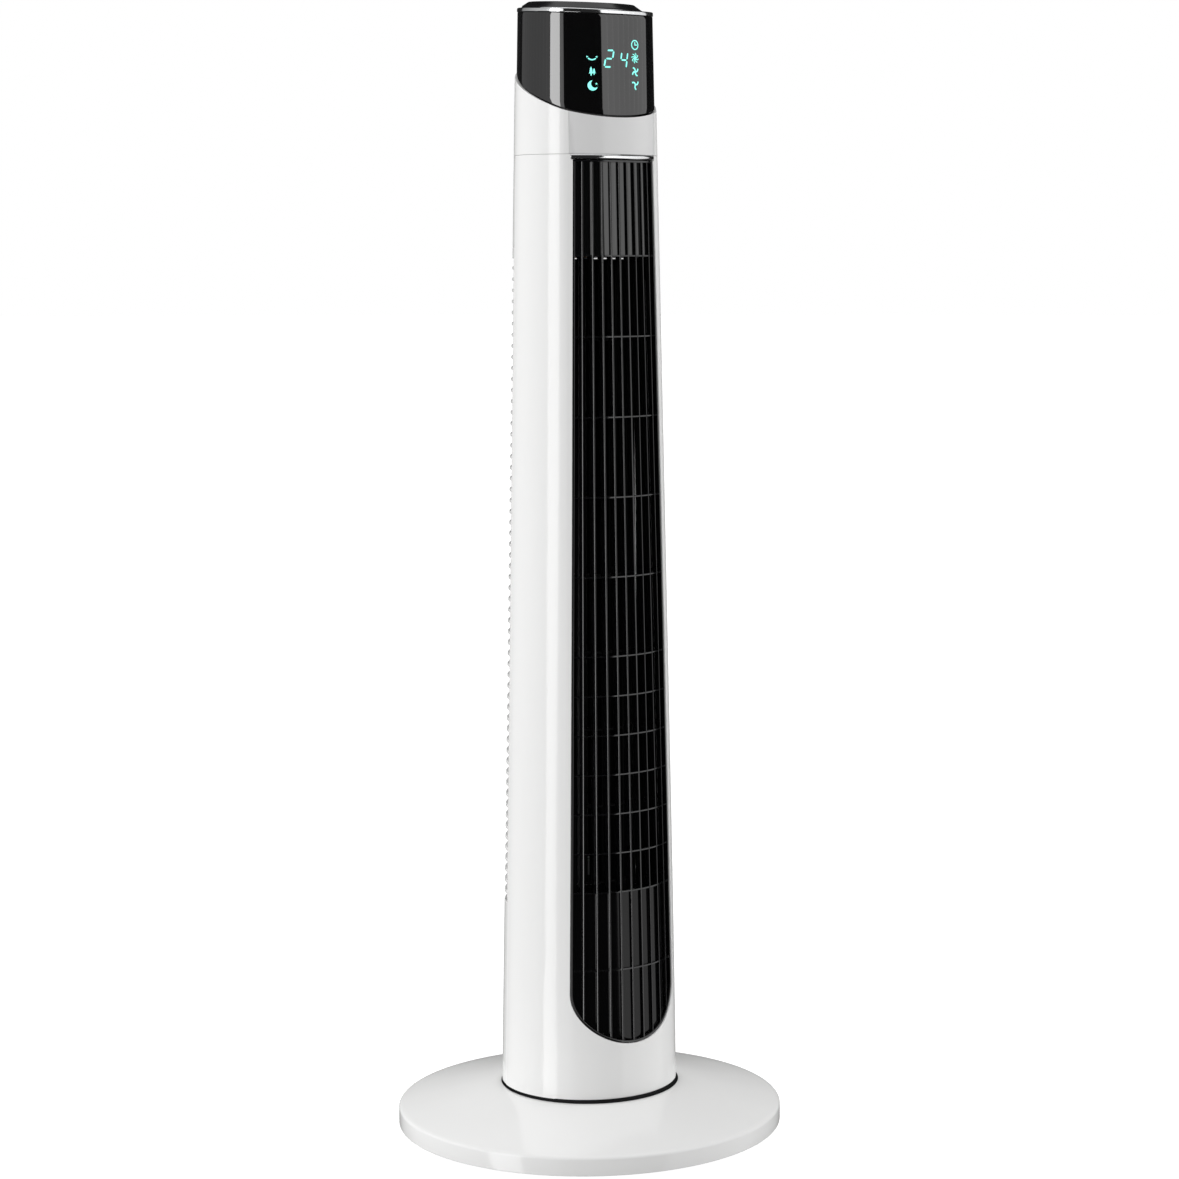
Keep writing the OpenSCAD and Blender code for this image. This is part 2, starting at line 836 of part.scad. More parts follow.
base_cover();
base_plate();
ballast_ring();
base_feet();
base_screws();
pivot_post();
yoke_arm();
bearing_ring();
retaining_washer();
pivot_nut();
tower_plate();
pivot_bush();
gap_ring();
front_housing();
rear_housing();
collar_shell();
trim_panel();
chrome_strip();
front_grille();
upper_blank();
lower_blank();
scroll_wall();
duct_tongue();
duct_top_plate();
duct_bottom_plate();
motor_bracket();
motor_lower_cover();
motor_upper_cover();
stator();
stator_windings();
motor_screws();
capacitor();
power_board();
osc_motor();
bearing_mount();
bearing_bush();
head_housing();
display_lens();
display_board();
display_lights();
ir_receiver();
chrome_ring();
top_panel();
button_board();
housing_screws();
rear_top_cover();
rear_grip();
cable_gland();
impeller();
impeller_hub();
motor_shaft();
upper_axle();
rotor();
osc_crank();
button_power();
button_speed();
button_timer();
button_mode();
button_swing();
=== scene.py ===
import math

import bmesh
import bpy
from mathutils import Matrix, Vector
from mathutils.geometry import delaunay_2d_cdt


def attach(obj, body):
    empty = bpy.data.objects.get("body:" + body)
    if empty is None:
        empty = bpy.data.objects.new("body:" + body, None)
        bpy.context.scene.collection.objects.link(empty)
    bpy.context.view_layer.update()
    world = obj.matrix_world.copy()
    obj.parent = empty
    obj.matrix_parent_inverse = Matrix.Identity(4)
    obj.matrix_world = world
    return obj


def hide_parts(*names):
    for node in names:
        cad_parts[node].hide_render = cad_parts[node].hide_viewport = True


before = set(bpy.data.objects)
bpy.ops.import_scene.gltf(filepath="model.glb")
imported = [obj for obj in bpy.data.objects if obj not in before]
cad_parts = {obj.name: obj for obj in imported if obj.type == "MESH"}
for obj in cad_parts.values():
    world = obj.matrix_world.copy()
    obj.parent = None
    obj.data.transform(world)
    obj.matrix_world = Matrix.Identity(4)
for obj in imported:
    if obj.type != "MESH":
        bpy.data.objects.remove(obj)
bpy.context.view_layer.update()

# Lengths are in millimetres until a mesh is made. The angle theta runs from the front (-Y) towards +X,
# and an inset is a depth below the column's surface.
MM = 0.001

# ---------- measures shared with the CAD ----------

COLUMN_Z0, SEAM_Z = 36.2, 802.8
FOOT_Z = 36.9                    # lower edge of the column as it is seen over the dark gap
WALL = 2.4
SPLIT_Y, GAP = 17.0, 0.25        # seam between the front and rear housings, and its width
OUTLET_TOP = 799.0
ROUND_Z, ROUND_H = 124.0, 42.7   # where the outlet's rounded foot begins, and its height
COLLAR_Z, COLLAR_TAN = 853.4, math.tan(math.radians(23.1))
RING_Z, RING_SLANT = 915.8, math.radians(3.1)
HEAD_IN = 1.5                    # the head stands this far inside the column's outline
REAR_SPLIT_Z = 729.0
CORNER, CORNER_W = 1.3, 7.0      # how softly the front face runs into the sides, and over what width
DUCT_LOW, DUCT_HIGH = 203.6, 722.9     # just inside the duct's end plates
WHEEL_Y = 2.0                    # the impeller's axis


def smooth_min(a, b):
    h = max(CORNER - abs(a - b), 0.0) / CORNER
    return min(a, b) - h * h * CORNER / 4


def side_r(z):
    return 73.5 - 0.02 * (z - COLUMN_Z0)


def front_circle(z):
    return 2.8 + 0.03666 * (z - COLUMN_Z0), 74.1 + 0.00978 * (z - COLUMN_Z0)


def reach(theta, z, inset=0.0):
    """Distance from the axis to the column's surface."""
    centre, radius = front_circle(z)
    radius -= inset
    across = centre * math.sin(theta)
    front = -centre * math.cos(theta) + math.sqrt(radius * radius - across * across)
    return smooth_min(side_r(z) - inset, front)


def on(theta, z, inset=0.0):
    r = reach(theta, z, inset)
    return (r * math.sin(theta), -r * math.cos(theta), z)


def theta_at_x(x, z, inset=0.0):
    theta = math.asin(x / side_r(z))
    for _ in range(12):
        theta = math.asin(max(-1.0, min(1.0, x / reach(theta, z, inset))))
    return theta


def theta_at_y(y, z):
    return math.acos(-y / side_r(z))


def front_point(x, z, inset):
    return on(theta_at_x(x, z, inset), z, inset)


def corner_theta(z):
    centre, radius = front_circle(z)
    y = (side_r(z) ** 2 - radius ** 2 + centre ** 2) / (2 * centre)
    return math.acos(-y / side_r(z))


def spread(a, b, count):
    return [a + (b - a) * i / count for i in range(count)]


def half_columns(z, start, stop, counts, first=None):
    """Angles from start to stop that follow the soft corner up the column."""
    corner, width = corner_theta(z), CORNER_W / side_r(z)
    low = max(corner - width, start + 0.35 * (corner - start))
    if first is not None:
        low = max(low, first + 0.2 * (corner - first))
    marks = [start] + ([first] if first is not None else []) + [low, corner + width, stop]
    columns = []
    for a, b, count in zip(marks, marks[1:], counts):
        columns += spread(a, b, count)
    return columns + [stop]


def all_round(half):
    """Columns of the right-hand half, from 0 to pi, and their mirror images."""
    return half + [2 * math.pi - c for c in reversed(half[1:-1])]


def full_turn(count):
    return [2 * math.pi * k / count for k in range(count)]


def outlet_half(z):
    return 38.3 + 0.018 * (OUTLET_TOP - z)


def outlet_span(z, margin):
    """Half width of the outlet less a margin all round, with its rounded foot."""
    if z >= ROUND_Z:
        return outlet_half(z) - margin
    share = max(1 - ((ROUND_Z - z) / (ROUND_H - margin)) ** 2, 0.0025)
    return (outlet_half(ROUND_Z) - margin) * math.sqrt(share)


def collar_top(theta, lift=0.0, inset=0.0):
    z = COLLAR_Z
    for _ in range(8):
        z = COLLAR_Z + lift - COLLAR_TAN * reach(theta, z, inset) * math.cos(theta)
    return z


def ring_frame(theta, inset, w):
    """Point on the outline at height w in the slanted frame of the chrome ring."""
    z = RING_Z
    for _ in range(5):
        x, y, _z = on(theta, z, inset)
        along = (y + w * math.sin(RING_SLANT)) / math.cos(RING_SLANT)
        z = RING_Z + along * math.sin(RING_SLANT) + w * math.cos(RING_SLANT)
    return (x, y, z)


def slanted(x, along, w):
    """Point given in the slanted frame of the top."""
    c, s = math.cos(RING_SLANT), math.sin(RING_SLANT)
    return (x, along * c - w * s, RING_Z + along * s + w * c)


# ---------- materials ----------

def node_tree(name):
    material = bpy.data.materials.new(name)
    material.use_nodes = True
    tree = material.node_tree
    return material, tree, tree.nodes["Principled BSDF"]


def noise(tree, scale, detail=3.0, stretch=(1, 1, 1)):
    coords = tree.nodes.new("ShaderNodeTexCoord")
    mapping = tree.nodes.new("ShaderNodeMapping")
    mapping.inputs["Scale"].default_value = stretch
    texture = tree.nodes.new("ShaderNodeTexNoise")
    texture.inputs["Scale"].default_value = scale
    texture.inputs["Detail"].default_value = detail
    tree.links.new(coords.outputs["Object"], mapping.inputs["Vector"])
    tree.links.new(mapping.outputs["Vector"], texture.inputs["Vector"])
    return texture.outputs["Fac"]


def remap(tree, value, low, high):
    node = tree.nodes.new("ShaderNodeMapRange")
    node.inputs["From Min"].default_value = 0.3
    node.inputs["From Max"].default_value = 0.7
    node.inputs["To Min"].default_value = low
    node.inputs["To Max"].default_value = high
    tree.links.new(value, node.inputs["Value"])
    return node.outputs["Result"]


def surface(name, colour, rough, vary=0.03, shade=0.03, grain=900.0, bump=0.00001, metal=0.0,
            coat=0.0, ior=1.5, stretch=(1, 1, 1), patch=14.0, specular=0.5, glow=None):
    """Finish with small changes of tone and gloss over its area, and a fine grain."""
    material, tree, shader = node_tree(name)
    shader.inputs["Metallic"].default_value = metal
    shader.inputs["IOR"].default_value = ior
    shader.inputs["Specular IOR Level"].default_value = specular
    shader.inputs["Coat Weight"].default_value = coat
    shader.inputs["Coat Roughness"].default_value = 0.04
    wide = noise(tree, patch, 4.0, stretch)
    tree.links.new(remap(tree, wide, max(rough - vary, 0.01), rough + vary), shader.inputs["Roughness"])
    mix = tree.nodes.new("ShaderNodeMix")
    mix.data_type = "RGBA"
    mix.inputs["A"].default_value = [c * (1 - shade) for c in colour] + [1]
    mix.inputs["B"].default_value = [min(c * (1 + shade), 1) for c in colour] + [1]
    tree.links.new(remap(tree, noise(tree, patch * 2.3, 5.0, stretch), 0, 1), mix.inputs["Factor"])
    tree.links.new(mix.outputs["Result"], shader.inputs["Base Color"])
    relief = tree.nodes.new("ShaderNodeBump")
    relief.inputs["Distance"].default_value = bump
    relief.inputs["Strength"].default_value = 1.0
    tree.links.new(noise(tree, grain, 2.0, stretch), relief.inputs["Height"])
    tree.links.new(relief.outputs["Normal"], shader.inputs["Normal"])
    if glow:
        shader.inputs["Emission Color"].default_value = list(glow[:3]) + [1]
        shader.inputs["Emission Strength"].default_value = glow[3]
    return material


WHITE_GLOSS = {"vary": 0.006, "shade": 0.001, "grain": 420, "bump": 0.000004, "patch": 4.0, "specular": 0.3}
BLACK_GLASS = {"vary": 0.008, "shade": 0.1, "grain": 160, "bump": 0.000001, "coat": 1.0}
BLACK_MOULD = {"vary": 0.02, "shade": 0.1, "bump": 0.000002}
white_gloss = surface("white_gloss", (0.83, 0.83, 0.825), 0.11, **WHITE_GLOSS)
panel_white = surface("panel_white", (0.74, 0.74, 0.74), 0.15, **WHITE_GLOSS)
head_black = surface("head_black", (0.002, 0.002, 0.0022), 0.03, **BLACK_GLASS)
lens_black = surface("lens_black", (0.0018, 0.002, 0.0022), 0.03, **BLACK_GLASS)
panel_black = surface("panel_black", (0.002, 0.002, 0.0022), 0.1, grain=300, specular=0.3, **BLACK_MOULD)
top_black = surface("top_black", (0.006, 0.006, 0.0065), 0.2, grain=500, specular=0.35, **BLACK_MOULD)
grille_black = surface("grille_black", (0.004, 0.004, 0.0045), 0.1, grain=500, coat=0.6, **BLACK_MOULD)
satin_black = surface("satin_black", (0.016, 0.016, 0.018), 0.42, vary=0.06, shade=0.12, grain=1400,
                      bump=0.00004)
deep_black = surface("deep_black", (0.004, 0.004, 0.0045), 0.6, vary=0.05, shade=0.15, grain=1200,
                     bump=0.00004, specular=0.15)
button_black = surface("button_black", (0.02, 0.02, 0.023), 0.3, vary=0.04, shade=0.1, grain=1500,
                       bump=0.00003)
chrome = surface("chrome", (0.86, 0.87, 0.88), 0.1, vary=0.03, shade=0.01, metal=1.0, grain=500,
                 bump=0.000002)
steel = surface("steel", (0.55, 0.56, 0.57), 0.28, vary=0.08, shade=0.06, metal=1.0, grain=800,
                bump=0.00003, stretch=(1, 1, 0.1))
zinc = surface("zinc", (0.6, 0.61, 0.6), 0.38, vary=0.1, shade=0.12, metal=1.0, grain=300,
               bump=0.00003, patch=60)
aluminium = surface("aluminium", (0.5, 0.51, 0.52), 0.45, vary=0.1, shade=0.08, metal=1.0, grain=900,
                    bump=0.00008)
bronze = surface("bronze", (0.52, 0.3, 0.12), 0.36, vary=0.08, shade=0.1, metal=1.0, grain=700,
                 bump=0.00003)
copper = surface("copper", (0.62, 0.25, 0.1), 0.3, vary=0.08, shade=0.18, metal=1.0, grain=900,
                 bump=0.0002, stretch=(0.2, 0.2, 3))
nylon = surface("nylon", (0.62, 0.6, 0.54), 0.45, vary=0.05, shade=0.04, grain=900, bump=0.00003)
rubber = surface("rubber", (0.018, 0.018, 0.018), 0.75, vary=0.08, shade=0.15, grain=1500, bump=0.00008)
board = surface("board", (0.02, 0.13, 0.05), 0.4, vary=0.06, shade=0.3, grain=400, bump=0.00006, patch=120)
label_grey = surface("label_grey", (0.5, 0.51, 0.52), 0.4, vary=0.05, shade=0.03)
aqua = surface("aqua", (0.2, 0.5, 0.47), 0.4, shade=0.02, glow=(0.19, 0.92, 0.79, 1.0))

NODE_FINISH = {
    "base_plate": satin_black, "ballast_ring": zinc, "base_feet": rubber, "base_screws": zinc,
    "pivot_post": steel, "yoke_arm": nylon, "bearing_ring": nylon, "retaining_washer": steel,
    "pivot_nut": zinc, "tower_plate": satin_black, "pivot_bush": bronze,
    "scroll_wall": deep_black, "duct_tongue": deep_black, "duct_top_plate": deep_black,
    "duct_bottom_plate": deep_black, "motor_bracket": zinc, "motor_lower_cover": aluminium,
    "motor_upper_cover": aluminium, "stator": steel, "stator_windings": copper, "motor_screws": zinc,
    "capacitor": nylon, "power_board": board, "osc_motor": aluminium, "bearing_mount": satin_black,
    "bearing_bush": bronze, "display_board": board, "ir_receiver": deep_black, "button_board": board,
    "housing_screws": zinc, "impeller_hub": aluminium, "motor_shaft": steel,
    "upper_axle": steel, "rotor": steel, "osc_crank": nylon,
}


# ---------- mesh helpers ----------

SAME_POINT, NO_LENGTH = 0.000004, 0.000002      # in metres
SHARP_ANGLE, BEVEL_ANGLE = math.radians(32), math.radians(50)


def loft(rows, wrap=False, ring=False, skip=None):
    """Quads between rows of points. Rows run upwards and points run with theta, so faces look outwards."""
    n = len(rows[0])
    points = [p for row in rows for p in row]
    faces = []
    for i in range(len(rows) - (0 if wrap else 1)):
        for j in range(n - (0 if ring else 1)):
            if skip and skip(i, j):
                continue
            k, m = (i + 1) % len(rows), (j + 1) % n
            faces.append((i * n + j, i * n + m, k * n + m, k * n + j))
    return points, faces


def tube(rows):
    """Closed body: each row is a closed outline, and both ends are capped."""
    points, faces = loft(rows, ring=True)
    n = len(rows[0])
    faces.append(tuple(range(n))[::-1])
    faces.append(tuple(range(len(points) - n, len(points))))
    return points, faces


def join(*parts):
    points, faces = [], []
    for more_points, more_faces in parts:
        offset = len(points)
        points += more_points
        faces += [tuple(i + offset for i in f) for f in more_faces]
    return points, faces


def piece(name, shape, material, body, replaces=(), thick=0.0, bevel=0.0, closed=True, merge=True):
    """Object from points in millimetres. An open sheet gets its wall from thick, and bevel rounds its
    edges."""
    points, faces = shape
    mesh = bpy.data.meshes.new(name)
    mesh.from_pydata([Vector(p) * MM for p in points], [], faces)
    bm = bmesh.new()
    bm.from_mesh(mesh)
    if merge:
        bmesh.ops.remove_doubles(bm, verts=bm.verts, dist=SAME_POINT)
    bmesh.ops.dissolve_degenerate(bm, dist=NO_LENGTH, edges=bm.edges)
    if closed:
        bmesh.ops.recalc_face_normals(bm, faces=bm.faces)
    for face in bm.faces:
        face.smooth = True
    bm.to_mesh(mesh)
    bm.free()
    mesh.materials.append(material)
    obj = bpy.data.objects.new(name, mesh)
    bpy.context.scene.collection.objects.link(obj)
    if thick:
        solid = obj.modifiers.new("wall", "SOLIDIFY")
        solid.thickness = thick * MM
        solid.offset = -1
        solid.use_even_offset = True
    if bevel:
        edge = obj.modifiers.new("edge", "BEVEL")
        edge.width = bevel * MM
        edge.segments = 3
        edge.limit_method = "ANGLE"
        edge.angle_limit = BEVEL_ANGLE
        even = obj.modifiers.new("normals", "WEIGHTED_NORMAL")
        even.keep_sharp = False
    elif not thick:
        mesh.set_sharp_from_angle(angle=SHARP_ANGLE)
    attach(obj, body)
    if replaces:
        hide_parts(*replaces)
    return obj


def lathe(profile, centre=(0.0, 0.0), count=160, place=None):
    """Closed ring swept round a vertical axis from a closed (r, z) profile."""
    rows = []
    for r, z in profile:
        row = []
        for i in range(count):
            a = 2 * math.pi * i / count
            p = (centre[0] + r * math.sin(a), centre[1] - r * math.cos(a), z)
            row.append(place(*p) if place else p)
        rows.append(row)
    return loft(rows, wrap=True, ring=True)


def arc(cx, cy, r, a0, a1, count):
    """Points on an arc, angles in degrees."""
    return [(cx + r * math.cos(math.radians(a0 + (a1 - a0) * i / count)),
             cy + r * math.sin(math.radians(a0 + (a1 - a0) * i / count))) for i in range(count + 1)]


# ---------- base ----------

def base_profile():
    outer = [(14.6, 34.5), (60, 34.5), (72, 34.5), (76.5, 34.55), (79.5, 34.2), (83, 33.55), (87, 32.75),
             (92, 31.7), (100, 29.95), (112, 27.3), (126, 24.2), (140, 21.15), (150, 18.95), (155.6, 17.55)]
    rim = arc(157.2, 14.4, 2.8, 62, 0, 7)
    lower = [(160, 8), (160, 2.6)] + arc(159.2, 2.3, 0.8, 0, -90, 3)[1:] + [(158.2, 1.5), (157.5, 2.1)]
    inner = [(157.4, 13.6), (155.4, 15.1), (140, 18.4), (76.5, 31.9), (14.6, 31.9)]
    return outer + rim + lower + inner


piece("base_shell", lathe(base_profile(), count=256), white_gloss, "base", ["base_cover"])

gap_profile = [(64, 37.2), (64, 34.7), (74.3, 34.7), (74.3, 34.9), (73.4, 35.3), (72.6, 36.2), (72.4, 37.2)]
piece("gap_band", lathe(gap_profile, count=200), deep_black, "tower", ["gap_ring"])


# ---------- front housing ----------

FRONT_COUNTS = (18, 12, 14)


def front_row(theta_in, z_in, z_out, side):
    z_mid = (z_in + z_out) / 2
    stop = theta_at_y(SPLIT_Y, z_out)
    columns = half_columns(z_mid, theta_in, stop, FRONT_COUNTS)
    row = []
    for theta in columns:
        s = (theta - theta_in) / (stop - theta_in)
        row.append(on(side * theta, z_in + (z_out - z_in) * s))
    return row if side > 0 else row[::-1]


def front_side(side):
    rows = []
    low_turn = 66.0
    for i in range(7):
        z = FOOT_Z + (ROUND_Z - ROUND_H - FOOT_Z) * i / 6
        rows.append(front_row(0.0, z, FOOT_Z + (low_turn - FOOT_Z) * i / 6, side))
    steps = 22
    for i in range(1, steps + 1):
        a = math.radians(90 * i / steps)
        x, z = outlet_half(ROUND_Z) * math.sin(a), ROUND_Z - ROUND_H * math.cos(a)
        out = low_turn + (ROUND_Z - low_turn) * (i / steps)
        rows.append(front_row(theta_at_x(x, z), z, out, side))
    count = 52
    for i in range(1, count + 1):
        z = ROUND_Z + (OUTLET_TOP - 0.4 - ROUND_Z) * i / count
        rows.append(front_row(theta_at_x(outlet_half(z), z), z, z, side))
    for z in (OUTLET_TOP - 0.2, SEAM_Z):
        rows.append(front_row(theta_at_x(outlet_half(OUTLET_TOP) + 1.4, z), z, z, side))
    return loft(rows)


piece("front_shell", join(front_side(1), front_side(-1)), white_gloss, "tower",
      ["front_housing"], thick=WALL, bevel=0.45, closed=False)


# ---------- rear housing ----------

SLATS, LOUVRE_Z, LOUVRE_PITCH, LOUVRE_H = 58, 194.5, 9.0, 6.5
WINDOW_LOW, WINDOW_HIGH = LOUVRE_Z - 4.1, LOUVRE_Z + SLATS * LOUVRE_PITCH + 4.0
WINDOW_Y, WINDOW_COLUMNS, BORDER_COLUMNS = 21.0, 44, 4


def rear_row(z):
    start, inner = theta_at_y(SPLIT_Y + GAP, z), theta_at_y(WINDOW_Y, z)
    columns = spread(start, inner, BORDER_COLUMNS) + spread(inner, 2 * math.pi - inner, WINDOW_COLUMNS)
    columns += spread(2 * math.pi - inner, 2 * math.pi - start, BORDER_COLUMNS) + [2 * math.pi - start]
    return [on(theta, z) for theta in columns]


def rear_frame():
    heights = [FOOT_Z + (WINDOW_LOW - FOOT_Z) * i / 10 for i in range(10)]
    first = len(heights)
    heights += [WINDOW_LOW + (WINDOW_HIGH - WINDOW_LOW) * i / 36 for i in range(36)]
    last = len(heights)
    heights += [WINDOW_HIGH, REAR_SPLIT_Z]
    window = range(BORDER_COLUMNS, BORDER_COLUMNS + WINDOW_COLUMNS)
    return loft([rear_row(z) for z in heights], skip=lambda i, j: first <= i < last and j in window)


piece("rear_shell", rear_frame(), white_gloss, "tower", ["rear_housing"],
      thick=WALL, bevel=0.4, closed=False)


def slat(i):
    z = LOUVRE_Z + (i + 0.5) * LOUVRE_PITCH
    half = (LOUVRE_PITCH - LOUVRE_H) / 2
    profile = [(0.0, -half + 0.5), (0.0, half - 0.5), (0.45, half), (2.0, half), (2.4, half - 0.4),
               (2.4, -half + 0.4), (2.0, -half), (0.45, -half)]
    start = theta_at_y(20.4, z)
    rows = []
    for k in range(57):
        theta = start + (2 * math.pi - 2 * start) * k / 56
        row = []
        for inset, dz in profile:
            r = reach(theta, z, inset)
            row.append((r * math.sin(theta), -r * math.cos(theta), z + dz - 0.15 * (r - 65)))
        rows.append(row)
    return tube(rows)


def rib(theta):
    half = 1.4
    profile = [(0.12, -half + 0.4), (0.12, half - 0.4), (0.5, half), (2.6, half), (2.6, -half), (0.5, -half)]
    rows = []
    for k in range(13):
        z = WINDOW_LOW - 1 + (WINDOW_HIGH - WINDOW_LOW + 2) * k / 12
        row = []
        for inset, across in profile:
            r = reach(theta, z, inset)
            row.append((r * math.sin(theta) - across * math.cos(theta),
                        -r * math.cos(theta) - across * math.sin(theta), z))
        rows.append(row)
    return tube(rows)


louvres = [slat(i) for i in range(SLATS)] + [rib(math.radians(a)) for a in (144, 180, 216)]
piece("rear_louvres", join(*louvres), white_gloss, "tower", merge=False)


# ---------- cover above the louvres, with the hand grip ----------

GRIP_Z, GRIP_W, GRIP_H = 762.0, 84.0, 34.0
GRIP_SQUASH = 0.62               # shares the points out more evenly along the long slot
GRIP_STEPS = 144


def grip_edge(beta, grow):
    """Point on the rounded slot, as (x, z) from its middle, for the angle beta round it."""
    straight, r = (GRIP_W - GRIP_H) / 2, GRIP_H / 2 + grow
    dx, dz = math.cos(beta), math.sin(beta) * GRIP_SQUASH
    low, high = 0.0, 200.0
    for _ in range(40):
        t = (low + high) / 2
        if math.hypot(max(abs(dx * t) - straight, 0.0), dz * t) < r:
            low = t
        else:
            high = t
    return dx * low, dz * low


def rear_cover():
    z0, z1 = REAR_SPLIT_Z + GAP, SEAM_Z
    middle, half_h = (z0 + z1) / 2, (z1 - z0) / 2
    rings, count = [], 8
    for f in range(count + 1):
        s = f / count
        row = []
        for beta in full_turn(GRIP_STEPS):
            x, dz = grip_edge(beta, 0.3)
            z = GRIP_Z + dz
            theta = math.pi - math.asin(x / side_r(z))
            c, d = math.cos(beta), math.sin(beta)
            scale = 1 / max(abs(c), abs(d))
            border_z = middle + half_h * d * scale
            half_span = math.pi - theta_at_y(SPLIT_Y + GAP, border_z)
            border = math.pi - half_span * c * scale
            row.append(on(theta + (border - theta) * s, z + (border_z - z) * s))
        rings.append(row)
    return loft(rings, ring=True)


def rear_cover_facing_out():
    points, faces = rear_cover()
    a, b, c = (Vector(points[i]) for i in faces[0][:3])
    if (b - a).cross(c - a).dot(Vector((a.x, a.y, 0))) < 0:
        faces = [f[::-1] for f in faces]
    return points, faces


piece("rear_cover", rear_cover_facing_out(), white_gloss, "tower", ["rear_top_cover"],
      thick=WALL, bevel=0.4, closed=False)


def grip_cup():
    # The lip follows the column, as (grow, inset). The cup behind it is straight, as (grow, y).
    lip_steps = [(-0.1, 3.6), (-0.1, 0.9), (-0.35, 0.5), (-0.8, 0.4), (-1.6, 0.5), (-2.2, 1.0), (-2.4, 1.8)]
    deep_steps = [(-2.8, 45.0), (-3.1, 39.0), (-3.9, 36.6), (-5.6, 34.9), (-8.0, 34.2), (-13.0, 34.0)]
    rows = []
    for grow, inset in lip_steps:
        row = []
        for beta in full_turn(GRIP_STEPS):
            x, dz = grip_edge(beta, grow)
            theta = math.pi - math.asin(x / (side_r(GRIP_Z) - inset))
            row.append(on(theta, GRIP_Z + dz, inset))
        rows.append(row)
    for grow, y in deep_steps:
        rows.append([(x, y, GRIP_Z + dz) for x, dz in (grip_edge(b, grow) for b in full_turn(GRIP_STEPS))])
    back = [(x, 32.0, GRIP_Z + dz) for x, dz in (grip_edge(b, -0.1) for b in full_turn(GRIP_STEPS))]
    points, faces = loft([back] + rows, ring=True)
    n = GRIP_STEPS
    faces += [tuple(range(n)), tuple(range(len(points) - n, len(points)))]
    return points, faces


piece("grip_cup", grip_cup(), satin_black, "tower", ["rear_grip"])


def gland():
    z = 86.0
    end = side_r(z)
    profile = [(10.0, 60.0), (10.0, 65.6), (7.0, 66.0), (7.0, end - 0.2), (8.3, end + 0.1), (8.6, end + 0.6),
               (8.4, end + 1.3), (7.4, end + 1.8), (5.4, end + 2.2), (4.3, end + 2.3), (3.75, end + 2.0),
               (3.6, end + 1.2), (3.6, end - 7), (0.01, end - 7), (0.01, 60.0)]
    return lathe(profile, count=72, place=lambda x, y, h: (x, h, z + y))


piece("cord_gland", gland(), rubber, "tower", ["cable_gland"])


# ---------- collar ----------

TRIM_HALF = 40.7


def collar():
    rows, count = [], 12
    for i in range(count + 1):
        s = i / count
        row = []
        z_ref = 803.0 + 30 * s
        half = half_columns(z_ref, theta_at_x(TRIM_HALF, z_ref), math.pi, (4, 14, 44))
        for theta in half + [2 * math.pi - c for c in reversed(half[:-1])]:
            z0, z1 = SEAM_Z + 0.2, collar_top(theta)
            row.append(on(theta, z0 + (z1 - z0) * s))
        rows.append(row)
    return loft(rows)


piece("collar", collar(), white_gloss, "tower", ["collar_shell"],
      thick=WALL, bevel=0.4, closed=False)


def trim():
    """Plate above the outlet: flush at its top, and let in behind a wedge-shaped edge at its foot."""
    half, wedge_w, wedge_d = TRIM_HALF - 0.15, 2.6, 1.3
    z0, middle_z = SEAM_Z + 0.4, 835
    rows, count = [], 10
    for i in range(count + 1):
        s = i / count
        t = max(0.1, 1 - s)
        inner = half - wedge_w * t
        xs = [(-half, 0.15), (-half + 0.12, 0.1)]
        flat = [-inner + 2 * inner * k / 30 for k in range(31)]
        xs += [(x, 0.15 + wedge_d * t) for x in flat] + [(half - 0.12, 0.1), (half, 0.15)]
        row = []
        for x, inset in xs:
            z = z0 + (collar_top(theta_at_x(x, middle_z)) - z0) * s
            row.append(front_point(x, z, inset))
        rows.append(row)
    return loft(rows)


piece("trim_plate", trim(), panel_white, "tower", ["trim_panel"], thick=1.0, bevel=0.2,
      closed=False)


def across_front(profile, half, count):
    """Bar that follows the front from -half to half. The profile is closed, in (inset, height)."""
    rows = []
    for k in range(count + 1):
        x = -half + 2 * half * k / count
        rows.append([front_point(x, h, inset) for inset, h in profile])
    return tube(rows)


def strip_profile():
    z0, z1 = 799.35, 802.85
    return [(3.2, z0), (0.9, z0), (0.45, z0 + 0.35), (0.15, z0 + 1.1), (0.05, (z0 + z1) / 2),
            (0.15, z1 - 1.1), (0.45, z1 - 0.35), (0.9, z1), (3.2, z1)]


piece("bright_strip", across_front(strip_profile(), 39.4, 60), chrome, "tower",
      ["chrome_strip"], bevel=0.12)


# ---------- outlet grille ----------

GRILLE_BACK = 8.2                # inset of the back of the rim and the fins
BAR_MARGIN = 1.2                 # the fins and bars end this far from the outlet's edge, inside the rim
FIN_SHARE = 1 / 5                # spacing of the fins, as a share of the outlet's half width
BAR_TOP, BAR_PITCH = 722.7, 64.36
BAR_STEPS = [0, 1, 2, 3, 4, 5, 5.5, 6, 6.5, 7, 7.5, 8, 9]
BLANK_INSET, BLANK_MARGIN = 3.5, 2.9    # the closed panels stand close behind the edges of the fins


def outlet_outline(inset):
    """Closed outline of the outlet, as (x, z)."""
    top = OUTLET_TOP - inset
    half_top = outlet_half(OUTLET_TOP) - inset
    half, high = outlet_half(ROUND_Z) - inset, ROUND_H - inset
    sides = 44
    points = [(-half_top + 2 * half_top * k / 16, top) for k in range(16)][::-1]
    points = [(half_top, top)] + points
    for k in range(1, sides):
        z = top + (ROUND_Z - top) * k / sides
        points.append((-outlet_half(z) + inset, z))
    turn = [math.radians(180 + 180 * k / 48) for k in range(49)]
    points += [(half * math.cos(a), ROUND_Z + high * math.sin(a)) for a in turn]
    for k in range(1, sides):
        z = ROUND_Z + (top - ROUND_Z) * k / sides
        points.append((outlet_half(z) - inset, z))
    return points


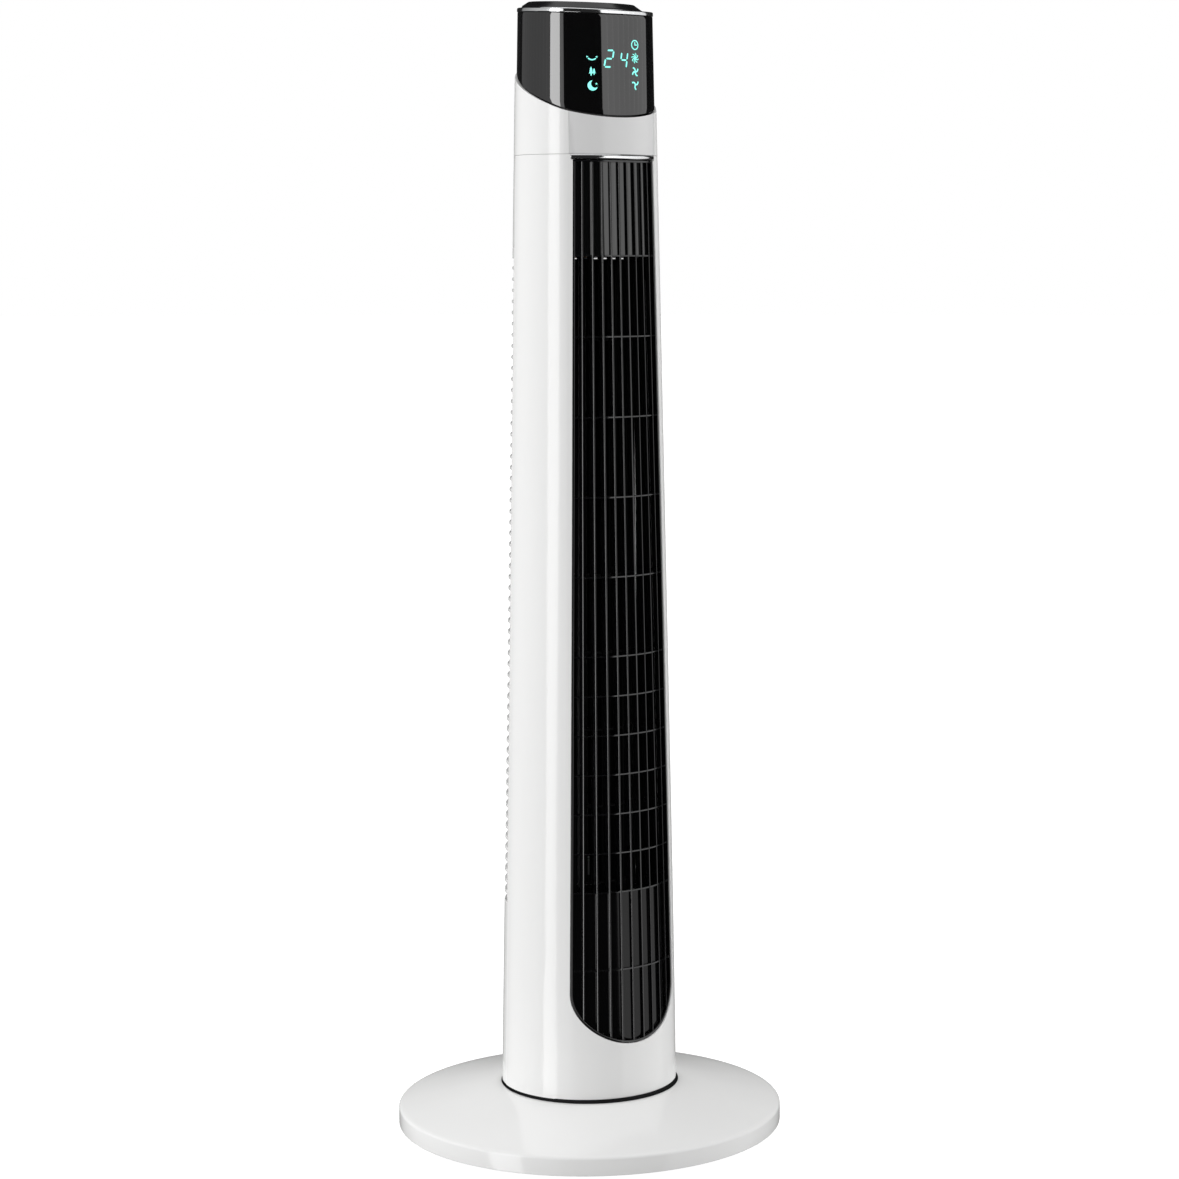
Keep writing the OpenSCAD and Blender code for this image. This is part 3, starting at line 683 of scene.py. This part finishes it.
def grille_rim():
    profile = [(0.3, GRILLE_BACK), (0.3, 1.2), (0.45, 0.85), (0.8, 0.7), (1.7, 0.75), (2.1, 1.0), (2.25, 1.5),
               (2.25, GRILLE_BACK)]
    return loft([[front_point(x, z, inset) for x, z in outlet_outline(d)] for d, inset in profile],
                wrap=True, ring=True)


def fin(i):
    profile = [(-0.7, GRILLE_BACK), (-0.7, 1.9), (-0.62, 1.55), (-0.38, 1.3), (0.0, 1.2), (0.38, 1.3),
               (0.62, 1.55), (0.7, 1.9), (0.7, GRILLE_BACK)]
    share = i * FIN_SHARE
    across = share * outlet_half(ROUND_Z) / (outlet_half(ROUND_Z) - BAR_MARGIN)
    low, high = ROUND_Z - (ROUND_H - BAR_MARGIN) * math.sqrt(1 - across ** 2), OUTLET_TOP - BAR_MARGIN
    rows, count = [], 34
    for k in range(count + 1):
        z = low + (high - low) * k / count
        x = share * outlet_half(z)
        rows.append([front_point(x + dx, z, inset) for dx, inset in profile])
    return tube(rows)


def bar(step):
    z = BAR_TOP - step * BAR_PITCH
    profile = [(4.1, z - 0.7), (1.95, z - 0.7), (1.62, z - 0.5), (1.5, z), (1.62, z + 0.5), (1.95, z + 0.7),
               (4.1, z + 0.7)]
    return across_front(profile, outlet_span(z, BAR_MARGIN), 40)


def blank(z0, z1, count):
    """Closed panel behind the fins."""
    rows = []
    for i in range(count + 1):
        z = z0 + (z1 - z0) * i / count
        half = outlet_span(z, BLANK_MARGIN)
        rows.append([front_point(-half + 2 * half * k / 40, z, BLANK_INSET) for k in range(41)])
    return loft(rows)


# ---------- impeller and its duct ----------

BLADES, SECTIONS = 32, 8


def impeller_wheel():
    """Cross-flow rotor: curved blades between discs that divide it into equal sections."""
    z0, z1, disc_t = 209.0, 720.0, 1.6
    arc_r, arc_x, arc_y, half_t = 8.55, 33.2, -8.6, 0.85
    angles = [math.radians(a) for a in (138, 122, 106, 90, 77, 64)]
    shares = (0.35, 0.8, 1.0, 1.0, 0.8, 0.35)

    def face(side):
        radii = [arc_r + side * half_t * share for share in shares]
        return [(arc_x + r * math.cos(a), arc_y + r * math.sin(a)) for r, a in zip(radii, angles)]

    outline = face(1) + face(-1)[::-1]
    parts = []
    for i in range(BLADES):
        c, s = math.cos(2 * math.pi * i / BLADES), math.sin(2 * math.pi * i / BLADES)
        parts.append(tube([[(x * c - y * s, WHEEL_Y + x * s + y * c, z) for x, y in outline]
                           for z in (z0 + 0.4, z1 - 0.4)]))
    for i in range(SECTIONS + 1):
        z = z0 + (z1 - z0 - disc_t) * i / SECTIONS
        hole = 27.6 if 0 < i < SECTIONS else 4.2
        profile = [(hole, z), (hole, z + disc_t), (36.8, z + disc_t), (37, z + disc_t - 0.2), (37, z + 0.2),
                   (36.8, z)]
        parts.append(lathe(profile, (0.0, WHEEL_Y), 128))
    hub = [(4.2, z1 - 18), (4.2, z1 - 1), (8.6, z1 - 1), (9, z1 - 1.4), (9, z1 - 17.6), (8.6, z1 - 18)]
    parts.append(lathe(hub, (0.0, WHEEL_Y), 48))
    return join(*parts)


def duct_lip():
    """Curved strip between the impeller and the cut-off tongue, which closes the gap there."""
    outer_r, inner_r, first, last, steps = 40.2, 39.0, -40, -4, 12
    outline = (arc(0, WHEEL_Y, outer_r, first, last, steps)
               + arc(0, WHEEL_Y, inner_r, first, last, steps)[::-1])
    return tube([[(x, y, z) for x, y in outline] for z in (DUCT_LOW, DUCT_HIGH)])


def duct_side():
    """Wall from the tongue out to the front housing, behind the rim of the grille."""
    tongue_x, tongue_y, lean, clear = 34.0, -24.0, 7 / 36, 1.5
    rows, count = [], 14
    for k in range(count + 1):
        z = DUCT_LOW + (DUCT_HIGH - DUCT_LOW) * k / count
        y = front_point(38.0, z, GRILLE_BACK + 1.6)[1]
        beside_tongue = (tongue_x + clear + (tongue_y - y) * lean, y, z)
        rows.append([beside_tongue, front_point(outlet_half(z) + 1.0, z, GRILLE_BACK + 1.0),
                     front_point(outlet_half(z) + 4.0, z, WALL + 0.3)])
    return loft(rows)


# The pieces of the outlet, from the inside out.
piece("duct_lip", duct_lip(), deep_black, "tower", merge=False)
piece("duct_side", duct_side(), deep_black, "tower", thick=1.0, closed=False)
piece("impeller_wheel", impeller_wheel(), deep_black, "impeller", ["impeller"], merge=False)
piece("grille_rim", grille_rim(), grille_black, "tower", ["front_grille"])
piece("grille_fins", join(*[fin(i) for i in range(-4, 5)]), grille_black, "tower", merge=False)
piece("grille_bars", join(*[bar(s) for s in BAR_STEPS]), grille_black, "tower", merge=False)
piece("blank_upper", blank(BAR_TOP, OUTLET_TOP - BAR_MARGIN, 10), lens_black, "tower",
      ["upper_blank"], thick=1.5, bevel=0.2, closed=False)
piece("blank_lower", blank(ROUND_Z - ROUND_H + 3.0, BAR_TOP - 8 * BAR_PITCH, 34), panel_black, "tower",
      ["lower_blank"], thick=1.5, bevel=0.2, closed=False)


# ---------- head ----------

LENS_LOW, LENS_HIGH, LENS_DEPTH = 852.0, 902.0, 1.6
LENS_Z = 877                     # height whose outline sets the columns of the head and the lens
LENS_EDGE = theta_at_x(37.0, LENS_Z, HEAD_IN)
LENS_ROWS = 14
HEAD_COUNTS = (26, 5, 14, 44)


def head():
    """Closed shell that stands just inside the collar, with a shallow seat for the display lens."""
    columns = all_round(half_columns(LENS_Z, 0.0, math.pi, HEAD_COUNTS, first=LENS_EDGE))
    end_rows = 4

    def ends(theta):
        return collar_top(theta, 0.8, HEAD_IN) + 0.55, ring_frame(theta, HEAD_IN, 0.0)[2] - 0.5

    def column_rows(theta, recessed):
        low, high = ends(theta)
        ref_low, ref_high = ends(min(theta, 2 * math.pi - theta, LENS_EDGE))
        f1, f2 = ((z - ref_low) / (ref_high - ref_low) for z in (LENS_LOW, LENS_HIGH))
        skirt = [(3.2, low - 5.5), (2.9, low - 5.5), (2.8, low - 1.0), (2.5, low - 0.5), (1.8, low - 0.45),
                 (1.56, low - 0.3)]
        marks = [(f1 * k / end_rows, False) for k in range(end_rows + 1)]
        marks += [(f1 + (f2 - f1) * k / LENS_ROWS, recessed) for k in range(LENS_ROWS + 1)]
        marks += [(f2 + (1 - f2) * k / end_rows, False) for k in range(end_rows + 1)]
        wall = [(HEAD_IN + (LENS_DEPTH if sunk else 0.0), low + (high - low) * f) for f, sunk in marks]
        top = [(1.62, high + 0.25), (1.9, high + 0.42), (4.4, high + 0.42), (4.4, high - 2.0),
               (4.4, low + 2.0)]
        return [on(theta, z, inset) for inset, z in skirt + wall + top]

    rows = []
    for theta in columns:
        past_edge = min(theta, 2 * math.pi - theta) - LENS_EDGE
        if abs(past_edge) < 1e-9:
            pair = [column_rows(theta, True), column_rows(theta, False)]
            rows += pair if theta < math.pi else pair[::-1]
        else:
            rows.append(column_rows(theta, past_edge < 0))
    return loft(rows, wrap=True, ring=True)


piece("head_shell", head(), head_black, "tower", ["head_housing"], merge=False)


def lens():
    """Closed smoked panel that fills the seat in the head."""
    count = 2 * HEAD_COUNTS[0]
    thetas = [-LENS_EDGE + 2 * LENS_EDGE * k / count for k in range(count + 1)]
    heights = [LENS_LOW + (LENS_HIGH - LENS_LOW) * i / LENS_ROWS for i in range(LENS_ROWS + 1)]
    front = [[on(t, z, HEAD_IN) for t in thetas] for z in heights]
    back = [[on(t, z, HEAD_IN + LENS_DEPTH - 0.1) for t in thetas] for z in heights]
    rear_points, rear_faces = loft(back)
    border = [loft([back[0], front[0]]), loft([front[-1], back[-1]]),
              loft([[row[0] for row in back], [row[0] for row in front]]),
              loft([[row[-1] for row in front], [row[-1] for row in back]])]
    return join(loft(front), (rear_points, [f[::-1] for f in rear_faces]), *border)


piece("lens_panel", lens(), lens_black, "tower", ["display_lens"])


# ---------- lit signs on the lens ----------

def stroke(points, width, closed=False):
    """Flat band along a line of (x, y) points, as points and faces."""
    pts = [Vector(p) for p in points]
    n = len(pts)
    left, right = [], []
    for i, p in enumerate(pts):
        before = pts[i - 1] if i or closed else p
        after = pts[(i + 1) % n] if i < n - 1 or closed else p
        along = (after - before).normalized()
        normal = Vector((-along.y, along.x)) * (width / 2)
        left.append(p + normal)
        right.append(p - normal)
    verts = [(q.x, q.y) for q in left + right]
    faces = [(i, (i + 1) % n, n + (i + 1) % n, n + i) for i in range(n if closed else n - 1)]
    return verts, faces


def moved(shape, dx, dy, scale=1.0, turn=0.0, slant=0.0):
    c, s = math.cos(turn), math.sin(turn)
    verts = []
    for x, y in shape[0]:
        x, y = x * c - y * s, x * s + y * c
        verts.append((dx + (x + slant * y) * scale, dy + y * scale))
    return verts, shape[1]


def circle(r, width, count=28, a0=0.0, a1=360.0):
    closed = abs(a1 - a0) >= 360
    pts = arc(0, 0, r, a0, a1, count)
    return stroke(pts[:-1] if closed else pts, width, closed)


def dot(r, count=16):
    rim = arc(0, 0, r, 0, 360, count)[:-1]
    return [(0.0, 0.0)] + rim, [(0, 1 + i, 1 + (i + 1) % count) for i in range(count)]


def line(a, b, width, steps=2):
    return stroke([(a[0] + (b[0] - a[0]) * k / steps, a[1] + (b[1] - a[1]) * k / steps)
                   for k in range(steps + 1)], width)


def triangle(half, y, height):
    return [(-half, y), (half, y), (0.0, y + height)], [(0, 1, 2)]


def head_arrow(x, y, turn):
    return moved(triangle(0.91, 0.0, 1.3), x, y, turn=turn)


def fan_sign(blades):
    """Round fan seen from the front, with curved blades."""
    width = 1.15 if blades < 6 else 0.7
    blade = stroke([(0.2, 0.0), (1.1, -0.15), (2.1, 0.05), (3.0, 0.75), (3.45, 1.9)], width)
    return join(dot(0.75), *[moved(blade, 0, 0, turn=a + 0.2) for a in full_turn(blades)])


def digit_sign(lit):
    """Seven-segment digit. The segments run clockwise from the top, and the middle one comes last."""
    half_w, h, half_t, gap = 3.0, 6.2, 0.625, 0.5
    places = [((-half_w, h), (half_w, h)), ((half_w, h), (half_w, 0)), ((half_w, 0), (half_w, -h)),
              ((-half_w, -h), (half_w, -h)), ((-half_w, 0), (-half_w, -h)), ((-half_w, h), (-half_w, 0)),
              ((-half_w, 0), (half_w, 0))]
    parts = []
    for i in lit:
        a, b = Vector(places[i][0]), Vector(places[i][1])
        along = (b - a).normalized()
        a, b = a + along * gap, b - along * gap
        along, across = along * half_t, Vector((-along.y, along.x)) * half_t
        verts = [a, a + along + across, b - along + across, b, b - along - across, a + along - across]
        parts.append(([(v.x, v.y) for v in verts], [(0, 1, 5), (1, 2, 4, 5), (2, 3, 4)]))
    return join(*parts)


clock_sign = join(circle(3.55, 0.85), line((0, -0.4), (0, 2.3), 0.8), line((-0.4, 0), (2.1, 0), 0.8))
swing_sign = join(circle(4.6, 1.0, 16, 228, 312), head_arrow(-3.5, -2.6, 0.75), head_arrow(3.5, -2.6, -0.75))


def tree_sign():
    tiers = [triangle(half, y, 2.3) for half, y in ((1.8, -1.9), (1.5, -0.4), (1.1, 1.1))]
    return join(line((0, -3.6), (0, -1.8), 0.8), *tiers)


leaf_sign = join(moved(tree_sign(), -0.9, 0.2), moved(tree_sign(), 1.5, -0.1, 0.75))
star_sign = join(*[moved(triangle(0.28, 0.0, 1.15), 0, 0, turn=a) for a in full_turn(5)])


def moon_sign():
    outer = arc(0, 0, 4.0, 100, 345, 20)
    inner = arc(1.9, 1.5, 3.25, 128, 318, 20)
    n = len(outer)
    return outer + inner, [(i, i + 1, n + i + 1, n + i) for i in range(n - 1)]


SIGN_SHIFT, SIGN_RISE = 1.2, 0.9        # move all the signs together
# Each sign with its place on the lens, its scale and its slant.
SIGNS = [
    (digit_sign([0, 1, 6, 4, 3]), -8.5, 877.2, 1.05, 0.2), (digit_sign([5, 6, 1, 2]), 5.5, 876.6, 1.0, 0.16),
    (clock_sign, 17.3, 889.0, 1.0, 0), (fan_sign(8), 17.3, 878.6, 1.0, 0), (fan_sign(4), 17.3, 867.9, 1.0, 0),
    (fan_sign(3), 17.3, 857.7, 1.0, 0), (swing_sign, -23.0, 880.6, 1.0, 0), (leaf_sign, -23.0, 867.0, 1.0, 0),
    (moon_sign(), -22.8, 855.8, 1.0, 0), (star_sign, -19.8, 857.2, 1.0, 0),
]


def lit_signs():
    flat = join(*[moved(sign, x, z, scale, slant=lean) for sign, x, z, scale, lean in SIGNS])
    return [front_point(x + SIGN_SHIFT, z + SIGN_RISE, HEAD_IN - 0.14) for x, z in flat[0]], flat[1]


def facing(shape, direction):
    """The same faces, all turned to look along direction."""
    points, faces = shape
    kept = []
    for f in faces:
        a, b, c = (Vector(points[i]) for i in f[:3])
        kept.append(f if (b - a).cross(c - a).dot(Vector(direction)) > 0 else f[::-1])
    return points, kept


piece("lit_signs", facing(lit_signs(), (0, -1, 0)), aqua, "tower", ["display_lights"], thick=0.3,
      closed=False, merge=False)


# ---------- chrome ring and top ----------

def chrome_band():
    columns = all_round(half_columns(915, 0.0, math.pi, (40, 14, 44)))
    profile = [(4.6, 0.12), (1.9, 0.12), (1.4, 0.2), (1.15, 0.45), (1.1, 0.9), (1.1, 2.4), (1.18, 2.9),
               (1.45, 3.3), (1.9, 3.5), (4.2, 3.5), (4.6, 3.2)]
    return loft([[ring_frame(t, inset, w) for t in columns] for inset, w in profile], wrap=True, ring=True)


piece("bright_ring", chrome_band(), chrome, "tower", ["chrome_ring"])

# In the slanted frame: the middle of the round rim, its radius and that of its recess, the heights of the
# rim, the recess and the chrome ring, and the widest reach of the cover.
RIM_C, RIM_R, RECESS_R = 6.2, 42.6, 35.5
RIM_TOP, DECK, RING_TOP, COVER_R = 8.8, 5.3, 3.5, 50.6
COVER_Z, COVER_IN = 918, 4.9     # the cover's edge lies just inside the chrome ring
HOLE_GAP = 0.75                  # round each button, at the deck
# Each button's middle and radius: one in front, and four on an arc behind it.
BUTTONS = {"button_power": (0.0, -9.0, 8.0)}
for name, angle in (("button_speed", 156), ("button_timer", 115), ("button_mode", 65), ("button_swing", 24)):
    BUTTONS[name] = (24.5 * math.cos(math.radians(angle)), 4 + 24.5 * math.sin(math.radians(angle)), 6.0)


def edge_from_rim_centre(phi):
    """Distance from the rim's middle to the edge of the cover, in the slanted frame."""
    dx, dy = math.sin(phi), -math.cos(phi)
    low, high = 20.0, 70.0
    for _ in range(40):
        t = (low + high) / 2
        x, along = dx * t, RIM_C + dy * t
        theta = math.atan2(x, -along)
        if math.hypot(x, along) < reach(theta, COVER_Z, COVER_IN):
            low = t
        else:
            high = t
    return low


def top_cover():
    steps = full_turn(192)
    slope = (RIM_TOP - RING_TOP) / 8.0
    edges = [min(edge_from_rim_centre(phi), COVER_R) for phi in steps]

    def row(make):
        out = []
        for phi, edge in zip(steps, edges):
            r, w = make(edge, RING_TOP + (COVER_R - edge) * slope)
            out.append(slanted(r * math.sin(phi), RIM_C - r * math.cos(phi), w))
        return out

    rows = [row(lambda e, w: (e - 2.0, -0.5)), row(lambda e, w: (e, -0.5)), row(lambda e, w: (e, w - 0.45)),
            row(lambda e, w: (e - 0.12, w - 0.12)), row(lambda e, w: (e - 0.45, w + 0.25))]
    for s in (0.33, 0.66, 1.0):
        rows.append(row(lambda e, w, s=s: (e - 0.45 + (RIM_R + 0.75 - e + 0.45) * s,
                                           w + 0.25 + (RIM_TOP - 0.5 - w - 0.25) * s)))
    for r, w in [(RIM_R + 0.35, RIM_TOP - 0.2), (RIM_R - 0.15, RIM_TOP - 0.05), (RIM_R - 0.8, RIM_TOP),
                 (RECESS_R + 1.0, RIM_TOP), (RECESS_R + 0.4, RIM_TOP - 0.12), (RECESS_R + 0.1, RIM_TOP - 0.4),
                 (RECESS_R, RIM_TOP - 0.9), (RECESS_R, DECK + 0.8), (RECESS_R - 0.2, DECK + 0.25),
                 (RECESS_R - 0.7, DECK)]:
        rows.append(row(lambda e, _w, r=r, w=w: (r, w)))
    shell = loft(rows, ring=True)

    outline = [((RECESS_R - 0.7) * math.sin(p), RIM_C - (RECESS_R - 0.7) * math.cos(p)) for p in steps]
    loops, walls = [outline], []
    edge = ((HOLE_GAP, 0.0), (0.42, -0.1), (0.3, -0.4), (0.3, -2.4))
    for x, y, r in BUTTONS.values():
        rings = [[(x + (r + grow) * math.sin(p), y - (r + grow) * math.cos(p)) for p in full_turn(64)]
                 for grow, _drop in edge]
        loops.append(rings[0])
        rows = [[slanted(*p, DECK + drop) for p in ring] for ring, (_grow, drop) in zip(rings, edge)]
        walls.append(loft(rows, ring=True))
    points2d, edges2d = [], []
    for loop in loops:
        start = len(points2d)
        points2d += [Vector(p) for p in loop]
        edges2d += [(start + i, start + (i + 1) % len(loop)) for i in range(len(loop))]
    verts, _e, tris, *_rest = delaunay_2d_cdt(points2d, edges2d, [], 1, 1e-6)
    kept = []
    for tri in tris:
        cx = sum(verts[i].x for i in tri) / 3
        cy = sum(verts[i].y for i in tri) / 3
        if all(math.hypot(cx - x, cy - y) > r + HOLE_GAP - 0.01 for x, y, r in BUTTONS.values()):
            kept.append(tuple(tri))
    deck = [slanted(v.x, v.y, DECK) for v in verts], kept
    return join(shell, deck, *walls)


top_piece = piece("top_cover", top_cover(), top_black, "tower", ["top_panel"])
top_piece.modifiers.new("normals", "WEIGHTED_NORMAL").keep_sharp = True


def push_button(x, y, r):
    profile = [(0.01, 7.32), (r * 0.5, 7.3), (r - 1.6, 7.24), (r - 0.9, 7.14), (r - 0.45, 6.95),
               (r - 0.12, 6.62), (r, 6.15), (r, 2.7), (r + 1.1, 2.6), (r + 1.1, 1.0), (r - 0.6, 1.0),
               (2.0, 0.9), (2.0, -1.7), (0.01, -1.7)]
    return lathe(profile, (x, y), 64, place=slanted)


def sign_plate(shape, x, y, w):
    return facing(([slanted(x + a, y + b, w) for a, b in shape[0]], shape[1]), (0, 0, 1))


power_sign = join(circle(2.7, 0.6, 22, 125, 415), line((0, 0.9), (0, 3.4), 0.6))
speed_sign = join(*[line((-1.8 + 1.8 * k, -1.8), (-1.8 + 1.8 * k, -0.9 + 1.1 * k), 0.8) for k in range(3)])
BUTTON_SIGNS = {"button_power": power_sign, "button_speed": speed_sign,
                "button_timer": moved(clock_sign, 0, 0, 0.72), "button_mode": moved(leaf_sign, 0, 0, 0.68),
                "button_swing": moved(swing_sign, 0, 1.0, 0.68)}
for name, (x, y, r) in BUTTONS.items():
    piece(name + "_cap", push_button(x, y, r), button_black, name, [name])
    piece(name + "_sign", sign_plate(BUTTON_SIGNS[name], x, y, 7.42), label_grey, name,
          thick=0.18, closed=False, merge=False)

for node, material in NODE_FINISH.items():
    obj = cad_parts[node]
    obj.data.materials.clear()
    obj.data.materials.append(material)


# ---------- floor, light and camera ----------

scene = bpy.context.scene
FLOOR_R, FLOOR_SIDES = 30, 64    # radius in metres, and number of sides
FLOOR_GLOW, FLOOR_SEEN = 0.34, 1.0
floor_mesh = bpy.data.meshes.new("floor")
floor_mesh.from_pydata([(math.cos(a) * FLOOR_R, math.sin(a) * FLOOR_R, 0) for a in full_turn(FLOOR_SIDES)],
                       [], [tuple(range(FLOOR_SIDES))])
floor_white = surface("floor_white", (0.18, 0.18, 0.18), 0.9, vary=0.02, shade=0.01, grain=60, bump=0.00002,
                      specular=0.0, glow=(1.0, 1.0, 1.0, 0.0))
floor_tree = floor_white.node_tree
floor_seen = floor_tree.nodes.new("ShaderNodeMapRange")
floor_seen.inputs["To Min"].default_value = FLOOR_GLOW
floor_seen.inputs["To Max"].default_value = FLOOR_SEEN
floor_path = floor_tree.nodes.new("ShaderNodeLightPath")
floor_tree.links.new(floor_path.outputs["Is Camera Ray"], floor_seen.inputs["Value"])
floor_tree.links.new(floor_seen.outputs["Result"],
                     floor_tree.nodes["Principled BSDF"].inputs["Emission Strength"])
floor_mesh.materials.append(floor_white)
floor = bpy.data.objects.new("floor", floor_mesh)
scene.collection.objects.link(floor)
floor.visible_glossy = False


def softbox(name, azimuth, elevation, distance, width, height, radiance, aim_z, use):
    """Area light. Azimuth runs from the front towards the viewer's right, in degrees."""
    light = bpy.data.lights.new(name, "AREA")
    light.shape = "RECTANGLE"
    light.size, light.size_y = width, height
    light.energy = radiance * 4 * width * height
    obj = bpy.data.objects.new(name, light)
    a, e = math.radians(azimuth), math.radians(elevation)
    target = Vector((0, 0, aim_z))
    offset = Vector((math.sin(a) * math.cos(e), -math.cos(a) * math.cos(e), math.sin(e))) * distance
    obj.location = target + offset
    obj.rotation_mode = "QUATERNION"
    obj.rotation_quaternion = (-offset).to_track_quat("-Z", "Y")
    obj.visible_camera = False
    obj.visible_diffuse = use != "gloss"
    obj.visible_glossy = use != "soft"
    scene.collection.objects.link(obj)


# Azimuth, elevation, distance, width, height, radiance, the height aimed at, and what the light is for:
# the reflections in the gloss or the soft shading.
SOFTBOXES = {
    "strip_left": (-82.3, 4, 3.0, 1.09, 4.4, 4.8, 0.0, "gloss"),
    "overhead": (0, 89, 3.2, 3.4, 3.4, 0.8, 0.0, "gloss"),
}
# Boxes of one size round the tower: azimuth and radiance.
SOFT_ROUND = {"soft_left": (-95, 1.7), "soft_left_back": (-130, 1.75), "soft_right": (75, 2.4),
              "soft_right_back": (110, 0.3), "soft_back": (180, 1.7)}
for name, (azimuth, radiance) in SOFT_ROUND.items():
    SOFTBOXES[name] = (azimuth, 5, 3.0, 1.6, 2.2, radiance, 0.8, "soft")
# Rows of narrow boxes side by side, whose light changes slowly: first and last azimuth and radiance.
LIGHT_ROWS = {
    "left": (-92.7, -165.0, 0.47, 0.16, 10),
    "near": (-71.9, -50.0, 0.95, 0.8, 2),
    "right": (12.9, 80.0, 1.04, 0.6, 9),
}
for name, (first, last, radiance_a, radiance_b, count) in LIGHT_ROWS.items():
    step, distance = (last - first) / count, 3.0
    width = 2 * distance * math.tan(math.radians(abs(step) / 2))
    for k in range(count):
        s = (k + 0.5) / count
        SOFTBOXES[f"{name}_{k}"] = (first + (k + 0.5) * step, 4, distance, width, 4.4,
                                    radiance_a + (radiance_b - radiance_a) * s, 0.0, "gloss")
for name, row in SOFTBOXES.items():
    softbox(name, *row)

SKY_SEEN, SKY_SOFT, SKY_GLOSS = 1.0, 0.83, 0.02
world = bpy.data.worlds.new("studio")
scene.world = world
world.use_nodes = True
tree = world.node_tree
tree.nodes.clear()
output = tree.nodes.new("ShaderNodeOutputWorld")
path = tree.nodes.new("ShaderNodeLightPath")


def sky(strength):
    node = tree.nodes.new("ShaderNodeBackground")
    node.inputs["Color"].default_value = (1, 1, 1, 1)
    node.inputs["Strength"].default_value = strength
    return node.outputs["Background"]


def either(ray, no, yes):
    node = tree.nodes.new("ShaderNodeMixShader")
    tree.links.new(path.outputs[ray], node.inputs["Fac"])
    tree.links.new(no, node.inputs[1])
    tree.links.new(yes, node.inputs[2])
    return node.outputs["Shader"]


unseen = either("Is Glossy Ray", sky(SKY_SOFT), sky(SKY_GLOSS))
tree.links.new(either("Is Camera Ray", unseen, sky(SKY_SEEN)), output.inputs["Surface"])

camera_data = bpy.data.cameras.new("camera")
camera_data.sensor_width = 36
camera_data.lens = 87.9
camera_data.shift_x = -0.0921
camera_data.clip_end = 100
camera = bpy.data.objects.new("camera", camera_data)
pitch = math.radians(6.73)
forward = Vector((0.5686 * math.cos(pitch), 0.8226 * math.cos(pitch), -math.sin(pitch)))
camera.location = (-1.2670, -1.9934, 0.7275)
camera.rotation_mode = "QUATERNION"
camera.rotation_quaternion = forward.to_track_quat("-Z", "Y")
scene.collection.objects.link(camera)
scene.camera = camera
scene.view_settings.view_transform = "Standard"

bpy.context.view_layer.update()
